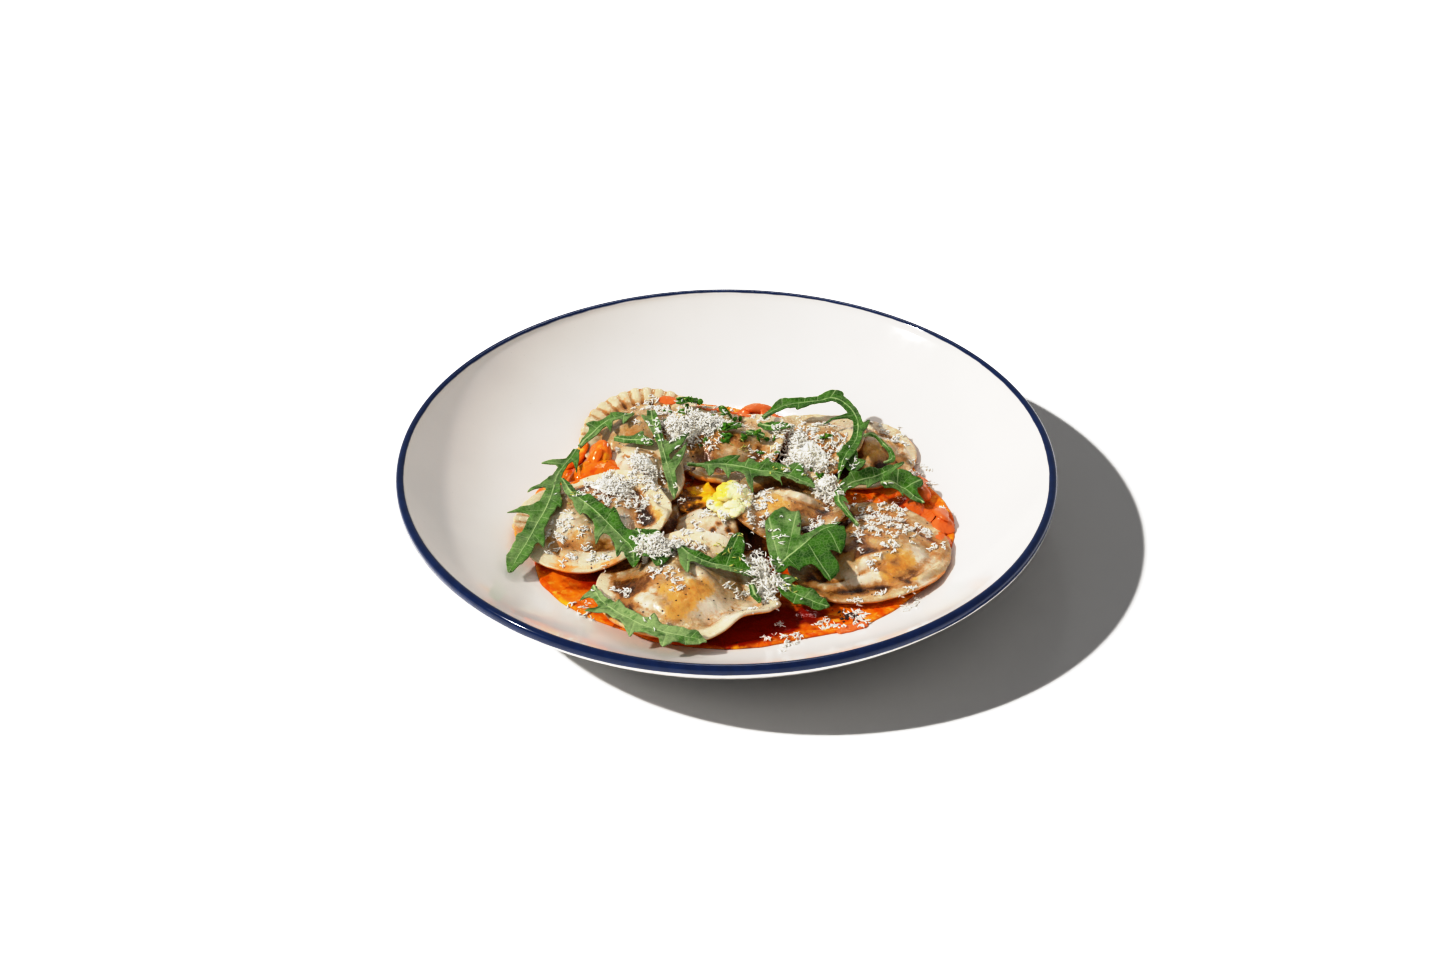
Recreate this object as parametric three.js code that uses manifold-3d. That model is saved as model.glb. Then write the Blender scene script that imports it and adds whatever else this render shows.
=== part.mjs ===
// A shallow coupe bowl of filled pasta: ten round ravioli in chunky tomato sauce, with rocket leaves,
// chopped herbs, a knob of soft curd and drifts of finely grated hard cheese. Millimetres, +Z up, the
// origin under the middle of the foot ring. Food is laid down in the order in which a cook plates it:
// each piece drapes over the height field that the pieces below it have left, so nothing crosses
// anything else.
import * as THREE from "three";
import { mergeVertices } from "three/addons/utils/BufferGeometryUtils.js";
import Module from "manifold-3d";

const wasm = await Module();
wasm.setup();

// ---------------------------------------------------------------- driving dimensions
const BOWL = {
  radius: 125, // outside of the rim
  height: 36,
  wall: 4,
  baseTop: 7, // upper face of the flat base
  baseRadius: 59, // where the flat base turns into the rising wall
  lipRadius: 122, // inner edge of the rounded rim
  lipHeight: 35,
  footRadius: 57,
  footWidth: 6,
  footRecess: 3,
  segments: 40,
  wallSteps: 5,
};
const SAUCE = { x: 6, y: -6, radius: 79.5, level: 9.7, edge: 0.7, spokes: 38 };
const PASTA = { edge: 2.4, margin: 9.5, dome: 7.4, gap: 0.4 };
const LEAF = { thickness: 0.6, clearance: 0.5, station: 3.8 };
const SHRED = { length: 5, width: 0.9, thickness: 0.7 };
const FIELD = { half: 104, step: 1 };

const DEG = Math.PI / 180;
const clamp = (v, low, high) => Math.min(high, Math.max(low, v));
const smooth = (v) => {
  const t = clamp(v, 0, 1);
  return t * t * (3 - 2 * t);
};

// A seeded random number from 0 to 1, the same on every run.
function seeded(seed) {
  let state = seed >>> 0;
  return () => {
    state = (state + 0x6d2b79f5) >>> 0;
    let t = state;
    t = Math.imul(t ^ (t >>> 15), t | 1);
    t ^= t + Math.imul(t ^ (t >>> 7), t | 61);
    return ((t ^ (t >>> 14)) >>> 0) / 4294967296;
  };
}

// ---------------------------------------------------------------- the bowl's section
// The wall is one arc, tangent to the flat base and ending at the lip.
const RISE = BOWL.lipHeight - BOWL.baseTop;
const REACH = BOWL.lipRadius - BOWL.baseRadius;
const LIP_SLOPE = 2 * Math.atan(RISE / REACH);
const ARC_RADIUS = REACH / Math.sin(LIP_SLOPE);

// Height of the bowl's upper face at a distance from its axis.
function bowlHeight(distance) {
  const out = clamp(distance - BOWL.baseRadius, 0, REACH);
  return BOWL.baseTop + ARC_RADIUS - Math.sqrt(ARC_RADIUS ** 2 - out ** 2);
}

function bowlGeometry() {
  const point = (x, y) => new THREE.Vector2(x, y);
  const inside = [point(0, BOWL.baseTop)];
  const outside = [];
  for (let i = 0; i <= BOWL.wallSteps; i++) {
    const slope = (LIP_SLOPE * i) / BOWL.wallSteps;
    const r = BOWL.baseRadius + ARC_RADIUS * Math.sin(slope);
    const z = BOWL.baseTop + ARC_RADIUS * (1 - Math.cos(slope));
    inside.push(point(r, z));
    outside.push(point(r + BOWL.wall * Math.sin(slope), z - BOWL.wall * Math.cos(slope)));
  }
  const lip = [
    point(BOWL.lipRadius + 1, BOWL.height - 0.2),
    point(BOWL.lipRadius + 2.1, BOWL.height),
    point(BOWL.radius, BOWL.height - 1.1),
  ];
  const footInner = BOWL.footRadius - BOWL.footWidth;
  const foot = [
    point(BOWL.footRadius, 0),
    point(footInner, 0),
    point(footInner - 1, BOWL.footRecess),
    point(0, BOWL.footRecess),
  ];
  const profile = [...inside, ...lip, ...outside.reverse(), ...foot];
  const geometry = new THREE.LatheGeometry(profile.reverse(), BOWL.segments);
  return geometry.rotateX(Math.PI / 2);
}

// ---------------------------------------------------------------- the height field of what is plated so far
class HeightField {
  constructor() {
    this.size = Math.round((2 * FIELD.half) / FIELD.step) + 1;
    this.height = new Float32Array(this.size ** 2);
    this.owner = new Array(this.size ** 2).fill("bowl");
  }

  place(i) {
    return i * FIELD.step - FIELD.half;
  }

  fill(heightAt) {
    for (let j = 0; j < this.size; j++)
      for (let i = 0; i < this.size; i++)
        this.height[j * this.size + i] = heightAt(this.place(i), this.place(j));
    return this;
  }

  at(x, y) {
    const u = clamp((x + FIELD.half) / FIELD.step, 0, this.size - 1.001);
    const v = clamp((y + FIELD.half) / FIELD.step, 0, this.size - 1.001);
    const [i, j] = [Math.floor(u), Math.floor(v)];
    const [a, b] = [u - i, v - j];
    const h = (di, dj) => this.height[(j + dj) * this.size + i + di];
    const near = h(0, 0) * (1 - a) + h(1, 0) * a;
    const far = h(0, 1) * (1 - a) + h(1, 1) * a;
    return near * (1 - b) + far * b;
  }

  ownerAt(x, y) {
    const i = clamp(Math.round((x + FIELD.half) / FIELD.step), 0, this.size - 1);
    const j = clamp(Math.round((y + FIELD.half) / FIELD.step), 0, this.size - 1);
    return this.owner[j * this.size + i];
  }

  // Raises the field to the upper faces of a geometry, and notes whose they are.
  raise(geometry, owner) {
    const p = geometry.getAttribute("position");
    const index = geometry.index.array;
    for (let t = 0; t < index.length; t += 3) {
      const corner = (k) => new THREE.Vector3().fromBufferAttribute(p, index[t + k]);
      const [a, b, c] = [corner(0), corner(1), corner(2)];
      const area = (b.x - a.x) * (c.y - a.y) - (b.y - a.y) * (c.x - a.x);
      if (area <= 1e-9) continue;
      const range = (low, high) => [
        clamp(Math.ceil((low + FIELD.half) / FIELD.step), 0, this.size - 1),
        clamp(Math.floor((high + FIELD.half) / FIELD.step), 0, this.size - 1),
      ];
      const [i0, i1] = range(Math.min(a.x, b.x, c.x), Math.max(a.x, b.x, c.x));
      const [j0, j1] = range(Math.min(a.y, b.y, c.y), Math.max(a.y, b.y, c.y));
      for (let j = j0; j <= j1; j++)
        for (let i = i0; i <= i1; i++) {
          const [x, y] = [this.place(i), this.place(j)];
          const u = ((b.x - x) * (c.y - y) - (b.y - y) * (c.x - x)) / area;
          const v = ((c.x - x) * (a.y - y) - (c.y - y) * (a.x - x)) / area;
          const w = 1 - u - v;
          if (u < 0 || v < 0 || w < 0) continue;
          const z = u * a.z + v * b.z + w * c.z;
          const cell = j * this.size + i;
          if (z <= this.height[cell]) continue;
          this.height[cell] = z;
          this.owner[cell] = owner;
        }
    }
  }

  // The highest point within a distance, as a new field.
  widened(distance) {
    const reach = Math.round(distance / FIELD.step);
    const offsets = [];
    for (let j = -reach; j <= reach; j++)
      for (let i = -reach; i <= reach; i++)
        if (i * i + j * j <= reach * reach) offsets.push([i, j]);
    const made = new HeightField();
    const last = this.size - 1;
    for (let j = 0; j < this.size; j++)
      for (let i = 0; i < this.size; i++) {
        let top = -Infinity;
        for (const [di, dj] of offsets) {
          const cell = clamp(j + dj, 0, last) * this.size + clamp(i + di, 0, last);
          top = Math.max(top, this.height[cell]);
        }
        made.height[j * this.size + i] = top;
      }
    return made;
  }

  // A mean over a square window, run twice, as a new field.
  softened(reach) {
    let from = this;
    for (let run = 0; run < 2; run++) {
      const made = new HeightField();
      for (let j = 0; j < this.size; j++)
        for (let i = 0; i < this.size; i++) {
          let [sum, count] = [0, 0];
          for (let dj = -reach; dj <= reach; dj++)
            for (let di = -reach; di <= reach; di++) {
              if (j + dj < 0 || j + dj >= this.size || i + di < 0 || i + di >= this.size) continue;
              sum += from.height[(j + dj) * this.size + i + di];
              count++;
            }
          made.height[j * this.size + i] = sum / count;
        }
      from = made;
    }
    return from;
  }

  // What a limp sheet of pasta or leaf lies on: the widened field with its steps eased, nowhere
  // below the food.
  support(distance, ease) {
    const near = this.widened(distance);
    const eased = this.widened(distance + ease).softened(Math.round(ease / FIELD.step));
    near.height.forEach((height, k) => {
      near.height[k] = Math.max(height, eased.height[k]);
    });
    return near;
  }
}

// ---------------------------------------------------------------- meshes from rings, strips and solids
function indexed(points, triangles) {
  const geometry = new THREE.BufferGeometry();
  geometry.setAttribute("position", new THREE.Float32BufferAttribute(points.flat(), 3));
  return geometry.setIndex(triangles);
}

// A closed body from a stack of rings with equal counts, each run anticlockwise: the first closes to
// the point above, the last to the point below.
function lofted(above, rings, below) {
  const count = rings[0].length;
  const points = [above, ...rings.flat(), below];
  const triangles = [];
  const at = (ring, k) => 1 + ring * count + (k % count);
  const lowest = points.length - 1;
  for (let k = 0; k < count; k++) {
    triangles.push(0, at(0, k), at(0, k + 1));
    for (let ring = 0; ring + 1 < rings.length; ring++) {
      const [a, b, c, d] = [at(ring, k), at(ring + 1, k), at(ring + 1, k + 1), at(ring, k + 1)];
      triangles.push(a, b, c, a, c, d);
    }
    triangles.push(at(rings.length - 1, k), lowest, at(rings.length - 1, k + 1));
  }
  return indexed(points, triangles);
}

function solidOf(geometry) {
  const bare = geometry.clone();
  for (const name of ["normal", "uv"]) bare.deleteAttribute(name);
  const merged = mergeVertices(bare, 1e-4);
  return new wasm.Manifold(
    new wasm.Mesh({
      numProp: 3,
      vertProperties: merged.getAttribute("position").array,
      triVerts: new Uint32Array(merged.index.array),
    }),
  );
}

// The solid's largest body as a geometry.
function geometryOf(solid) {
  const bodies = solid.decompose().sort((a, b) => b.volume() - a.volume());
  const mesh = bodies[0].getMesh();
  const geometry = new THREE.BufferGeometry();
  const points = new THREE.BufferAttribute(new Float32Array(mesh.vertProperties), 3);
  geometry.setAttribute("position", points);
  return geometry.setIndex(new THREE.BufferAttribute(new Uint32Array(mesh.triVerts), 1));
}

// ---------------------------------------------------------------- finishes
const finish = (color, roughness) => new THREE.MeshStandardMaterial({ color, roughness, metalness: 0 });
const GLAZE = finish(0xece8e2, 0.25);
const TOMATO = finish(0xd9531c, 0.35);
const DOUGH = finish(0xd9c7a0, 0.45);
const ROCKET = finish(0x4f8a3a, 0.5);
const HERB = finish(0x2f7d1e, 0.5);
const CURD = finish(0xf0e2a4, 0.6);
const CHEESE = finish(0xf1ece2, 0.7);

const plated = new HeightField().fill((x, y) => bowlHeight(Math.hypot(x, y)));
const dish = new THREE.Group();
const nodes = new Map();

// Adds a node whose geometry is in the dish's frame. The mesh is placed at its own middle.
function add(group, name, geometry, material, origin = [0, 0]) {
  plated.raise(geometry, name);
  const mesh = new THREE.Mesh(geometry.translate(-origin[0], -origin[1], 0), material);
  mesh.position.set(origin[0], origin[1], 0);
  mesh.name = name;
  group.add(mesh);
  nodes.set(name, mesh);
  return mesh;
}

function layer() {
  const group = new THREE.Group();
  dish.add(group);
  return group;
}

// ---------------------------------------------------------------- bowl
const crockery = layer();
const bowl = new THREE.Mesh(bowlGeometry(), GLAZE);
bowl.name = "bowl";
crockery.add(bowl);

// ---------------------------------------------------------------- tomato sauce
// Fingers of sauce past the round pool: direction in degrees, half width in degrees, and reach in
// millimetres.
const RUNS = [
  [14, 15, -2.5],
  [74, 13, -7],
  [102, 11, 4],
  [212, 17, 5.5],
  [247, 11, 2],
  [280, 18, -2.4],
  [336, 17, 3],
  [357, 9, 2.5],
];

// The sum of rounded bumps about given directions: direction, half width in degrees, height.
function nearby(angle, bumps) {
  let sum = 0;
  for (const [toward, half, more] of bumps) {
    const turns = (angle / DEG - toward) / 360;
    const off = 360 * (turns - Math.round(turns));
    sum += more * Math.exp(-((off / half) ** 2));
  }
  return sum;
}

function sauceReach(angle) {
  const ripple = 0.9 * Math.sin(7 * angle + 1) + 0.6 * Math.sin(11 * angle);
  return SAUCE.radius + ripple + nearby(angle, RUNS);
}

function sauceGeometry() {
  const ring = (share, heightAt) => {
    const points = [];
    for (let k = 0; k < SAUCE.spokes; k++) {
      const angle = (k / SAUCE.spokes) * 2 * Math.PI;
      const reach = share * sauceReach(angle);
      const [x, y] = [SAUCE.x + reach * Math.cos(angle), SAUCE.y + reach * Math.sin(angle)];
      points.push([x, y, heightAt(x, y, share)]);
    }
    return points;
  };
  const floor = (x, y) => bowlHeight(Math.hypot(x, y)) + PASTA.gap;
  const lumps = (x, y) => {
    const broad = 0.35 * Math.sin(0.31 * x + 1) * Math.cos(0.27 * y);
    return broad + 0.25 * Math.sin(0.6 * y + 0.4 * x);
  };
  const top = (x, y, share) => {
    const pool = SAUCE.level + lumps(x, y) * (1 - share ** 4);
    return Math.max(pool, floor(x, y) + SAUCE.edge);
  };
  const rings = [0.3, 0.6, 0.82, 0.94, 0.985].map((share) => ring(share, top));
  rings.push(ring(1, (x, y) => floor(x, y) + 0.2));
  for (const share of [0.985, 0.9, 0.8, 0.7, 0.4]) rings.push(ring(share, floor));
  const above = [SAUCE.x, SAUCE.y, top(SAUCE.x, SAUCE.y, 0)];
  return lofted(above, rings, [SAUCE.x, SAUCE.y, floor(SAUCE.x, SAUCE.y)]);
}

const wet = layer();
add(wet, "sauce", sauceGeometry(), TOMATO);

// ---------------------------------------------------------------- ravioli
// In plating order. middle: x, y. dome: how far its filling lies off the middle. plane: height of the
// under face at the middle, and its rise per millimetre along x and y. curls: direction, half width in
// degrees, and lift of the edge. bulges: the same for its reach. crimp: the stretch of edge that is
// pressed into flutes, in degrees.
const RAVIOLI = [
  {
    name: "ravioli_middle",
    middle: [-5, -17],
    radius: 25,
    dome: [1, 0],
    plane: [10.4, 0, 0.02],
    curls: [],
  },
  {
    name: "ravioli_back_left",
    middle: [-31, 46.5],
    radius: 27.5,
    dome: [-1, -1],
    plane: [11, 0, 0.13],
    curls: [[-110, 30, 1]],
    crimp: [50, 190],
  },
  {
    name: "ravioli_front",
    middle: [-17, -56],
    radius: 31.5,
    dome: [-1, 2],
    plane: [10.4, 0, 0],
    curls: [[-40, 26, 7.5], [172, 24, 2]],
    bulges: [[-22, 17, 10]],
  },
  {
    name: "ravioli_right",
    middle: [53, -31],
    radius: 32,
    dome: [2, 0],
    plane: [10.4, 0.03, 0.02],
    curls: [[-20, 20, 1.5], [-130, 24, 1.2]],
  },
  {
    name: "ravioli_far_right",
    middle: [53, 33.5],
    radius: 22.5,
    dome: [4, -1],
    plane: [10.6, 0.05, 0.05],
    curls: [[20, 22, 1.5], [75, 18, 1.2]],
  },
  {
    name: "ravioli_back_right",
    middle: [32, 37.5],
    radius: 23.5,
    dome: [1, 0],
    plane: [11, 0.02, 0.03],
    curls: [[120, 26, 1.6], [60, 20, 1.4]],
  },
  {
    name: "ravioli_back",
    middle: [0, 38],
    radius: 24.5,
    dome: [0, -2],
    plane: [11, 0, 0.01],
    curls: [[80, 30, 1]],
  },
  {
    name: "ravioli_left_middle",
    middle: [-35, 12],
    radius: 19.5,
    dome: [0, 4],
    plane: [11, 0, 0.02],
    curls: [[100, 30, 1.2]],
  },
  {
    name: "ravioli_left",
    middle: [-51, -12],
    radius: 30,
    dome: [-1, 1],
    plane: [11.6, -0.02, 0.01],
    curls: [[-88, 44, 2.4], [-8, 22, 3]],
    bulges: [[82, 42, -6], [-94, 40, 1.2]],
    crimp: [150, 215],
  },
  {
    name: "ravioli_centre_right",
    middle: [23, -7],
    radius: 24,
    dome: [0, -1],
    plane: [11.4, 0, 0.02],
    curls: [[35, 24, 1.6], [-100, 26, 1.4]],
  },
];
const TOP_RINGS = [0.2, 0.38, 0.54, 0.68, 0.82, 1];
const UNDER_RINGS = [0.96, 0.66, 0.33];
const PLAIN_SPOKES = 25;
const FLUTE = { pitch: 5.4, depth: 0.6, width: 6.5 };

// The directions of a raviolo's spokes: one on each ridge and in each groove of its crimped stretch,
// and evenly spread over the rest.
function spokeAngles(spec) {
  const plain = (2 * Math.PI) / PLAIN_SPOKES;
  const angles = [];
  if (!spec.crimp) {
    for (let k = 0; k < PLAIN_SPOKES; k++) angles.push(k * plain);
    return angles;
  }
  const half = FLUTE.pitch / spec.radius / 2;
  const [from, to] = spec.crimp;
  const first = Math.ceil((from * DEG) / half - 0.5);
  for (let n = first; (n + 0.5) * half < to * DEG; n++) angles.push((n + 0.5) * half);
  const last = angles[angles.length - 1];
  const rest = angles[0] + 2 * Math.PI - last;
  const count = Math.round(rest / plain);
  for (let k = 1; k < count; k++) angles.push(last + (rest * k) / count);
  return angles;
}

function ravioliGeometry(spec, number, support) {
  const [cx, cy] = spec.middle;
  const spokes = spokeAngles(spec);
  const domeRadius = spec.radius - PASTA.margin;
  const phase = number * 1.7;
  const outline = (angle) => {
    const oval = 0.018 * Math.sin(2 * angle + phase) + 0.012 * Math.sin(3 * angle + 2 * phase);
    return spec.radius * (1 + oval) + nearby(angle, spec.bulges ?? []);
  };
  const lift = (angle, share) => nearby(angle, spec.curls) * smooth((share - 0.5) / 0.5);
  // 1 on a flute's ridge, -1 in its groove, 0 away from the crimped stretch.
  const flute = (angle, share) => {
    if (!spec.crimp) return 0;
    const degrees = ((angle / DEG) % 360 + 360) % 360;
    const [from, to] = spec.crimp;
    const along = smooth((degrees - from) / 14) * smooth((to - degrees) / 14);
    const inward = spec.radius * (1 - share);
    const across = smooth((FLUTE.width - inward) / (0.5 * FLUTE.width));
    return along * across * Math.sin((angle * spec.radius * 2 * Math.PI) / FLUTE.pitch);
  };
  const under = (x, y, angle, share) => {
    const plane = spec.plane[0] + spec.plane[1] * (x - cx) + spec.plane[2] * (y - cy);
    return Math.max(plane + lift(angle, share), support.at(x, y) + PASTA.gap);
  };
  const swell = (x, y) => {
    const away = Math.hypot(x - cx - spec.dome[0], y - cy - spec.dome[1]) / domeRadius;
    const mound = away < 1 ? (1 - away ** 3) ** 1.4 : 0;
    const broad = 0.5 * Math.sin(0.42 * x + phase) * Math.sin(0.38 * y + 2 * phase);
    const lumps = broad + 0.3 * Math.sin(0.8 * x - 0.5 * y);
    return PASTA.dome * mound + lumps * Math.sqrt(mound);
  };
  const ring = (share, heightAt) => {
    const points = [];
    for (const angle of spokes) {
      const scallop = 0.6 * FLUTE.depth * flute(angle, share) * smooth((share - 0.9) / 0.1);
      const reach = share * outline(angle) + scallop;
      const [x, y] = [cx + reach * Math.cos(angle), cy + reach * Math.sin(angle)];
      points.push([x, y, heightAt(x, y, angle, share)]);
    }
    return points;
  };
  // The soft filling spreads where the raviolo lies on top of another.
  const top = (x, y, angle, share) => {
    const bottom = under(x, y, angle, share);
    const slack = 1 - 0.75 * smooth((bottom - spec.plane[0] - 1) / 8);
    return bottom + PASTA.edge + slack * swell(x, y) + FLUTE.depth * flute(angle, share);
  };
  const rings = TOP_RINGS.map((share) => ring(share, top));
  for (const share of UNDER_RINGS) rings.push(ring(share, under));
  return lofted([cx, cy, top(cx, cy, 0, 0)], rings, [cx, cy, under(cx, cy, 0, 0)]);
}

const pasta = layer();
RAVIOLI.forEach((spec, number) => {
  const geometry = ravioliGeometry(spec, number, plated.support(3, 5));
  add(pasta, spec.name, geometry, DOUGH, spec.middle);
});

// ---------------------------------------------------------------- lumps: tomato flesh and curd
// Low rounded pieces: middle, half length, half width, height, turn in degrees, and height of the underside.
const TOMATOES = [
  { name: "tomato_left", middle: [-50, 31], size: [7, 4, 5], turn: 110 },
  { name: "tomato_left_low", middle: [-55, 21], size: [7, 4.5, 3.2], turn: 20 },
  { name: "tomato_back", middle: [13, 68], size: [7, 4, 4], turn: 8 },
  { name: "tomato_right", middle: [75, 10], size: [7.5, 4, 4], turn: 110 },
  { name: "tomato_right_low", middle: [82, -9], size: [7, 3.4, 3], turn: 98 },
];
const KNOBS = [{ name: "curd", middle: [3, -10], size: [12.5, 5.5, 3.4], turn: 94 }];

function lumpGeometry({ middle, size, turn }, support, number) {
  const [length, width, height] = size;
  const spokes = 10;
  const [c, s] = [Math.cos(turn * DEG), Math.sin(turn * DEG)];
  const place = (share, angle) => {
    const bulge = 1 + 0.1 * Math.sin(3 * angle + number) + 0.06 * Math.sin(5 * angle + 2 * number);
    const [u, v] = [length * share * bulge * Math.cos(angle), width * share * bulge * Math.sin(angle)];
    return [middle[0] + u * c - v * s, middle[1] + u * s + v * c];
  };
  const rest = (x, y) => support.at(x, y) + PASTA.gap;
  const ring = (share, lift) => {
    const points = [];
    for (let k = 0; k < spokes; k++) {
      const [x, y] = place(share, (k / spokes) * 2 * Math.PI);
      points.push([x, y, rest(x, y) + lift]);
    }
    return points;
  };
  const rings = [
    ring(0.45, height * 0.92),
    ring(0.8, height * 0.68),
    ring(1, height * 0.32),
    ring(0.86, 0),
    ring(0.45, 0),
  ];
  const [x, y] = middle;
  return lofted([x, y, rest(x, y) + height], rings, [x, y, rest(x, y)]);
}

const pieces = layer();
TOMATOES.forEach((spec, number) => {
  add(pieces, spec.name, lumpGeometry(spec, plated.support(2, 2), number), TOMATO, spec.middle);
});
KNOBS.forEach((spec, number) => {
  add(pieces, spec.name, lumpGeometry(spec, plated.support(2, 2), number + 9), CURD, spec.middle);
});

// ---------------------------------------------------------------- rocket leaves
// route: the midrib from stem to tip. lobes: place along the midrib from 0 to 1, side (1 left, -1
// right), length, half width along the midrib, and lean towards the tip. blade: half widths at even
// steps from stem to tip. cup: how far the edges turn up.
const LEAVES = [
  {
    name: "leaf_back_left_low",
    route: [[-44, 31.6, 22], [-38.4, 29.6, 22.5], [-33.4, 28, 23], [-28.6, 25.4, 23.4]],
    blade: [2, 2.2, 2.8, 2],
    cup: 0.6,
    lobes: [[0.35, 1, 3, 2, -0.3]],
  },
  {
    name: "leaf_upper_left",
    route: [
      [-57.6, 32, 17.4], [-54.4, 39, 17.6], [-50.7, 45.3, 18], [-47.1, 48.3, 19],
      [-42.7, 48.6, 20.5], [-36.9, 50.4, 22],
    ],
    blade: [1.4, 2.6, 2.6, 2.4, 1.8],
    cup: 0.8,
    lobes: [[0.3, 1, 3, 2.5, 0.2], [0.66, 1, 5, 2, -0.2], [0.55, -1, 5, 2, 0], [0.84, -1, 2, 2, 0.3]],
  },
  {
    name: "leaf_left_long",
    route: [
      [-58.6, 28.6, 17], [-61.9, 22.6, 17], [-65.3, 13.3, 17.5], [-66.4, -1.6, 19.5],
      [-68.2, -12.6, 19.8], [-71.2, -20.8, 19], [-74, -29.8, 18], [-76.9, -37.4, 17],
      [-79.9, -47.8, 16.5],
    ],
    blade: [1.6, 1.8, 2.6, 4, 4.6, 4.4, 4.8, 3.6],
    cup: 0.9,
    lobes: [
      [0.1, -1, 9, 2.2, -0.1], [0.2, -1, 9, 3, 1.3], [0.48, -1, 9, 3.2, 0.35],
      [0.7, -1, 1.6, 2.4, 0.2], [0.08, 1, 5, 2.4, 0.4], [0.19, 1, 5, 1.8, 0.6],
      [0.4, 1, 4, 2.4, 0.8], [0.6, 1, 2.4, 2.4, 0.6],
    ],
  },
  {
    name: "leaf_left_broad",
    route: [
      [-63.3, 4.6, 18.5], [-58.8, -6.3, 22], [-53.6, -12.7, 22.8], [-48.5, -18.8, 22.6],
      [-43.5, -25.4, 21.5], [-38.6, -32.4, 20.8], [-34.6, -39.6, 19.5], [-33.9, -47, 18.6],
    ],
    blade: [1.2, 2.4, 4.8, 5.4, 5, 4.6, 3.4],
    cup: 0.7,
    lobes: [
      [0.3, -1, 2, 2.5, 0.4], [0.54, -1, 5.5, 3, 0.5], [0.82, -1, 3.5, 2.6, 0.4],
      [0.4, 1, 2, 3, 0.3], [0.66, 1, 3, 3, 0.2],
    ],
  },
  {
    name: "leaf_left_under",
    route: [
      [-34.6, -30.5, 21.5], [-30.4, -33.4, 21.6], [-26.6, -37.1, 21], [-24.4, -43.6, 21.2],
      [-25.4, -49.6, 21],
    ],
    blade: [1.6, 3.6, 4, 3.8, 2.4],
    cup: 0.5,
    lobes: [[0.25, 1, 3, 2.4, 0.2], [0.62, 1, 2, 2.4, 0.2], [0.66, -1, 3.4, 2.6, 0.2]],
  },
  {
    name: "leaf_upright",
    route: [
      [-30, 50.2, 22.6], [-28.3, 37.6, 23.2], [-25.9, 26.9, 23.6], [-24, 19.2, 22],
      [-22.1, 11.5, 20.5], [-20.5, 2, 19.5], [-19.7, -7.6, 19.6],
    ],
    blade: [2, 3, 2.2, 1.8, 2.6, 2.2, 0.9],
    cup: 0.8,
    lobes: [[0.46, 1, 10.5, 2.8, -0.75], [0.12, -1, 2.4, 3, 0], [0.4, -1, 2, 2, 0.2]],
  },
  {
    name: "leaf_centre",
    route: [
      [-15.1, 15.3, 20.8], [-8.4, 15.8, 20.5], [-0.6, 15.9, 20.4], [7.2, 13.5, 20.8],
      [13, 11, 20.8], [19.4, 10.1, 20.2], [25.7, 7.6, 19.8], [31.2, 2.8, 19.8], [33.9, -0.5, 20],
    ],
    blade: [0.8, 1.6, 3.6, 4.4, 4.8, 5, 4.6, 3.6, 2.4],
    cup: 0.8,
    lobes: [
      [0.44, 1, 3, 2.4, 0.6], [0.6, 1, 2.4, 2.4, 0.4], [0.22, -1, 5, 1.8, 0.2],
      [0.4, -1, 6, 2.4, 0.2], [0.68, -1, 7, 3.4, 0.3], [0.86, -1, 3, 2.4, 0.4],
    ],
  },
  {
    name: "leaf_back_low",
    route: [[12.8, 40.1, 22.4], [19.9, 35.6, 24], [27, 35.4, 24.6]],
    blade: [1.4, 2.8, 2.4, 1],
    cup: 0.4,
    lobes: [],
  },
  {
    name: "leaf_tuft",
    route: [[43.4, 18.6, 24], [46.6, 14.6, 23.6], [49.6, 8.6, 22]],
    blade: [1, 3, 3.2, 2],
    cup: 1,
    lobes: [[0.3, 1, 4, 2, -0.2], [0.72, 1, 4, 2, 0]],
  },
  {
    name: "leaf_arch",
    route: [
      [15, 41.1, 22.6], [18.7, 47.7, 23.4], [23.1, 51.3, 24], [30.4, 53.1, 24.6], [37.5, 54, 24.8],
      [42.6, 55.4, 25.4], [48.4, 49.4, 25.8], [51.8, 39.4, 25.8], [51.6, 30, 25.4],
      [49.2, 21.6, 24.6], [45.6, 13.4, 23.2], [43, 4, 20.8],
    ],
    blade: [1.4, 2.6, 3.2, 3.4, 3.2, 3, 2.6, 2.2, 2.2, 2.8, 3.2, 2, 0.8],
    cup: 1.2,
    lobes: [[0.22, -1, 3, 3.4, -0.3], [0.16, 1, 2, 2.4, 0], [0.6, -1, 11, 2.2, -0.1], [0.48, 1, 3, 2.4, 0.3]],
  },
  {
    name: "leaf_right_narrow",
    route: [
      [49.3, -25.5, 22], [44.9, -17.1, 22.2], [42.6, -8.1, 21.6], [44.3, -1.3, 20.6],
      [48.7, 3, 19.8], [55.9, 7.8, 19.2], [61.8, 12.4, 19.4], [69.1, 17.6, 20.5],
    ],
    blade: [0.6, 1.4, 1.8, 2.2, 2.6, 3, 2.6, 1.4],
    cup: 0.8,
    lobes: [[0.3, 1, 2, 2, 0], [0.62, -1, 3.4, 3, 0.2], [0.74, -1, 3, 3, 0.3], [0.84, 1, 1.5, 2.5, 0.3]],
  },
  {
    name: "leaf_right",
    route: [[59.4, 2.6, 17], [64, 4.6, 17.4], [68.4, 4.6, 17], [71.6, 1.6, 16.4], [75.9, -2.8, 14.4]],
    blade: [2.4, 3, 3, 2.6, 1.2],
    cup: 0.6,
    lobes: [[0.46, 1, 9, 2.2, 0.5], [0.6, -1, 2.5, 2.6, 0.2]],
  },
  {
    name: "leaf_curl",
    route: [
      [53.9, 27.3, 24.6], [58.3, 29.4, 24], [61.8, 26.8, 22.8], [64.5, 22.4, 21],
      [64.4, 18.6, 20.4], [61.4, 16, 20.8],
    ],
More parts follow.
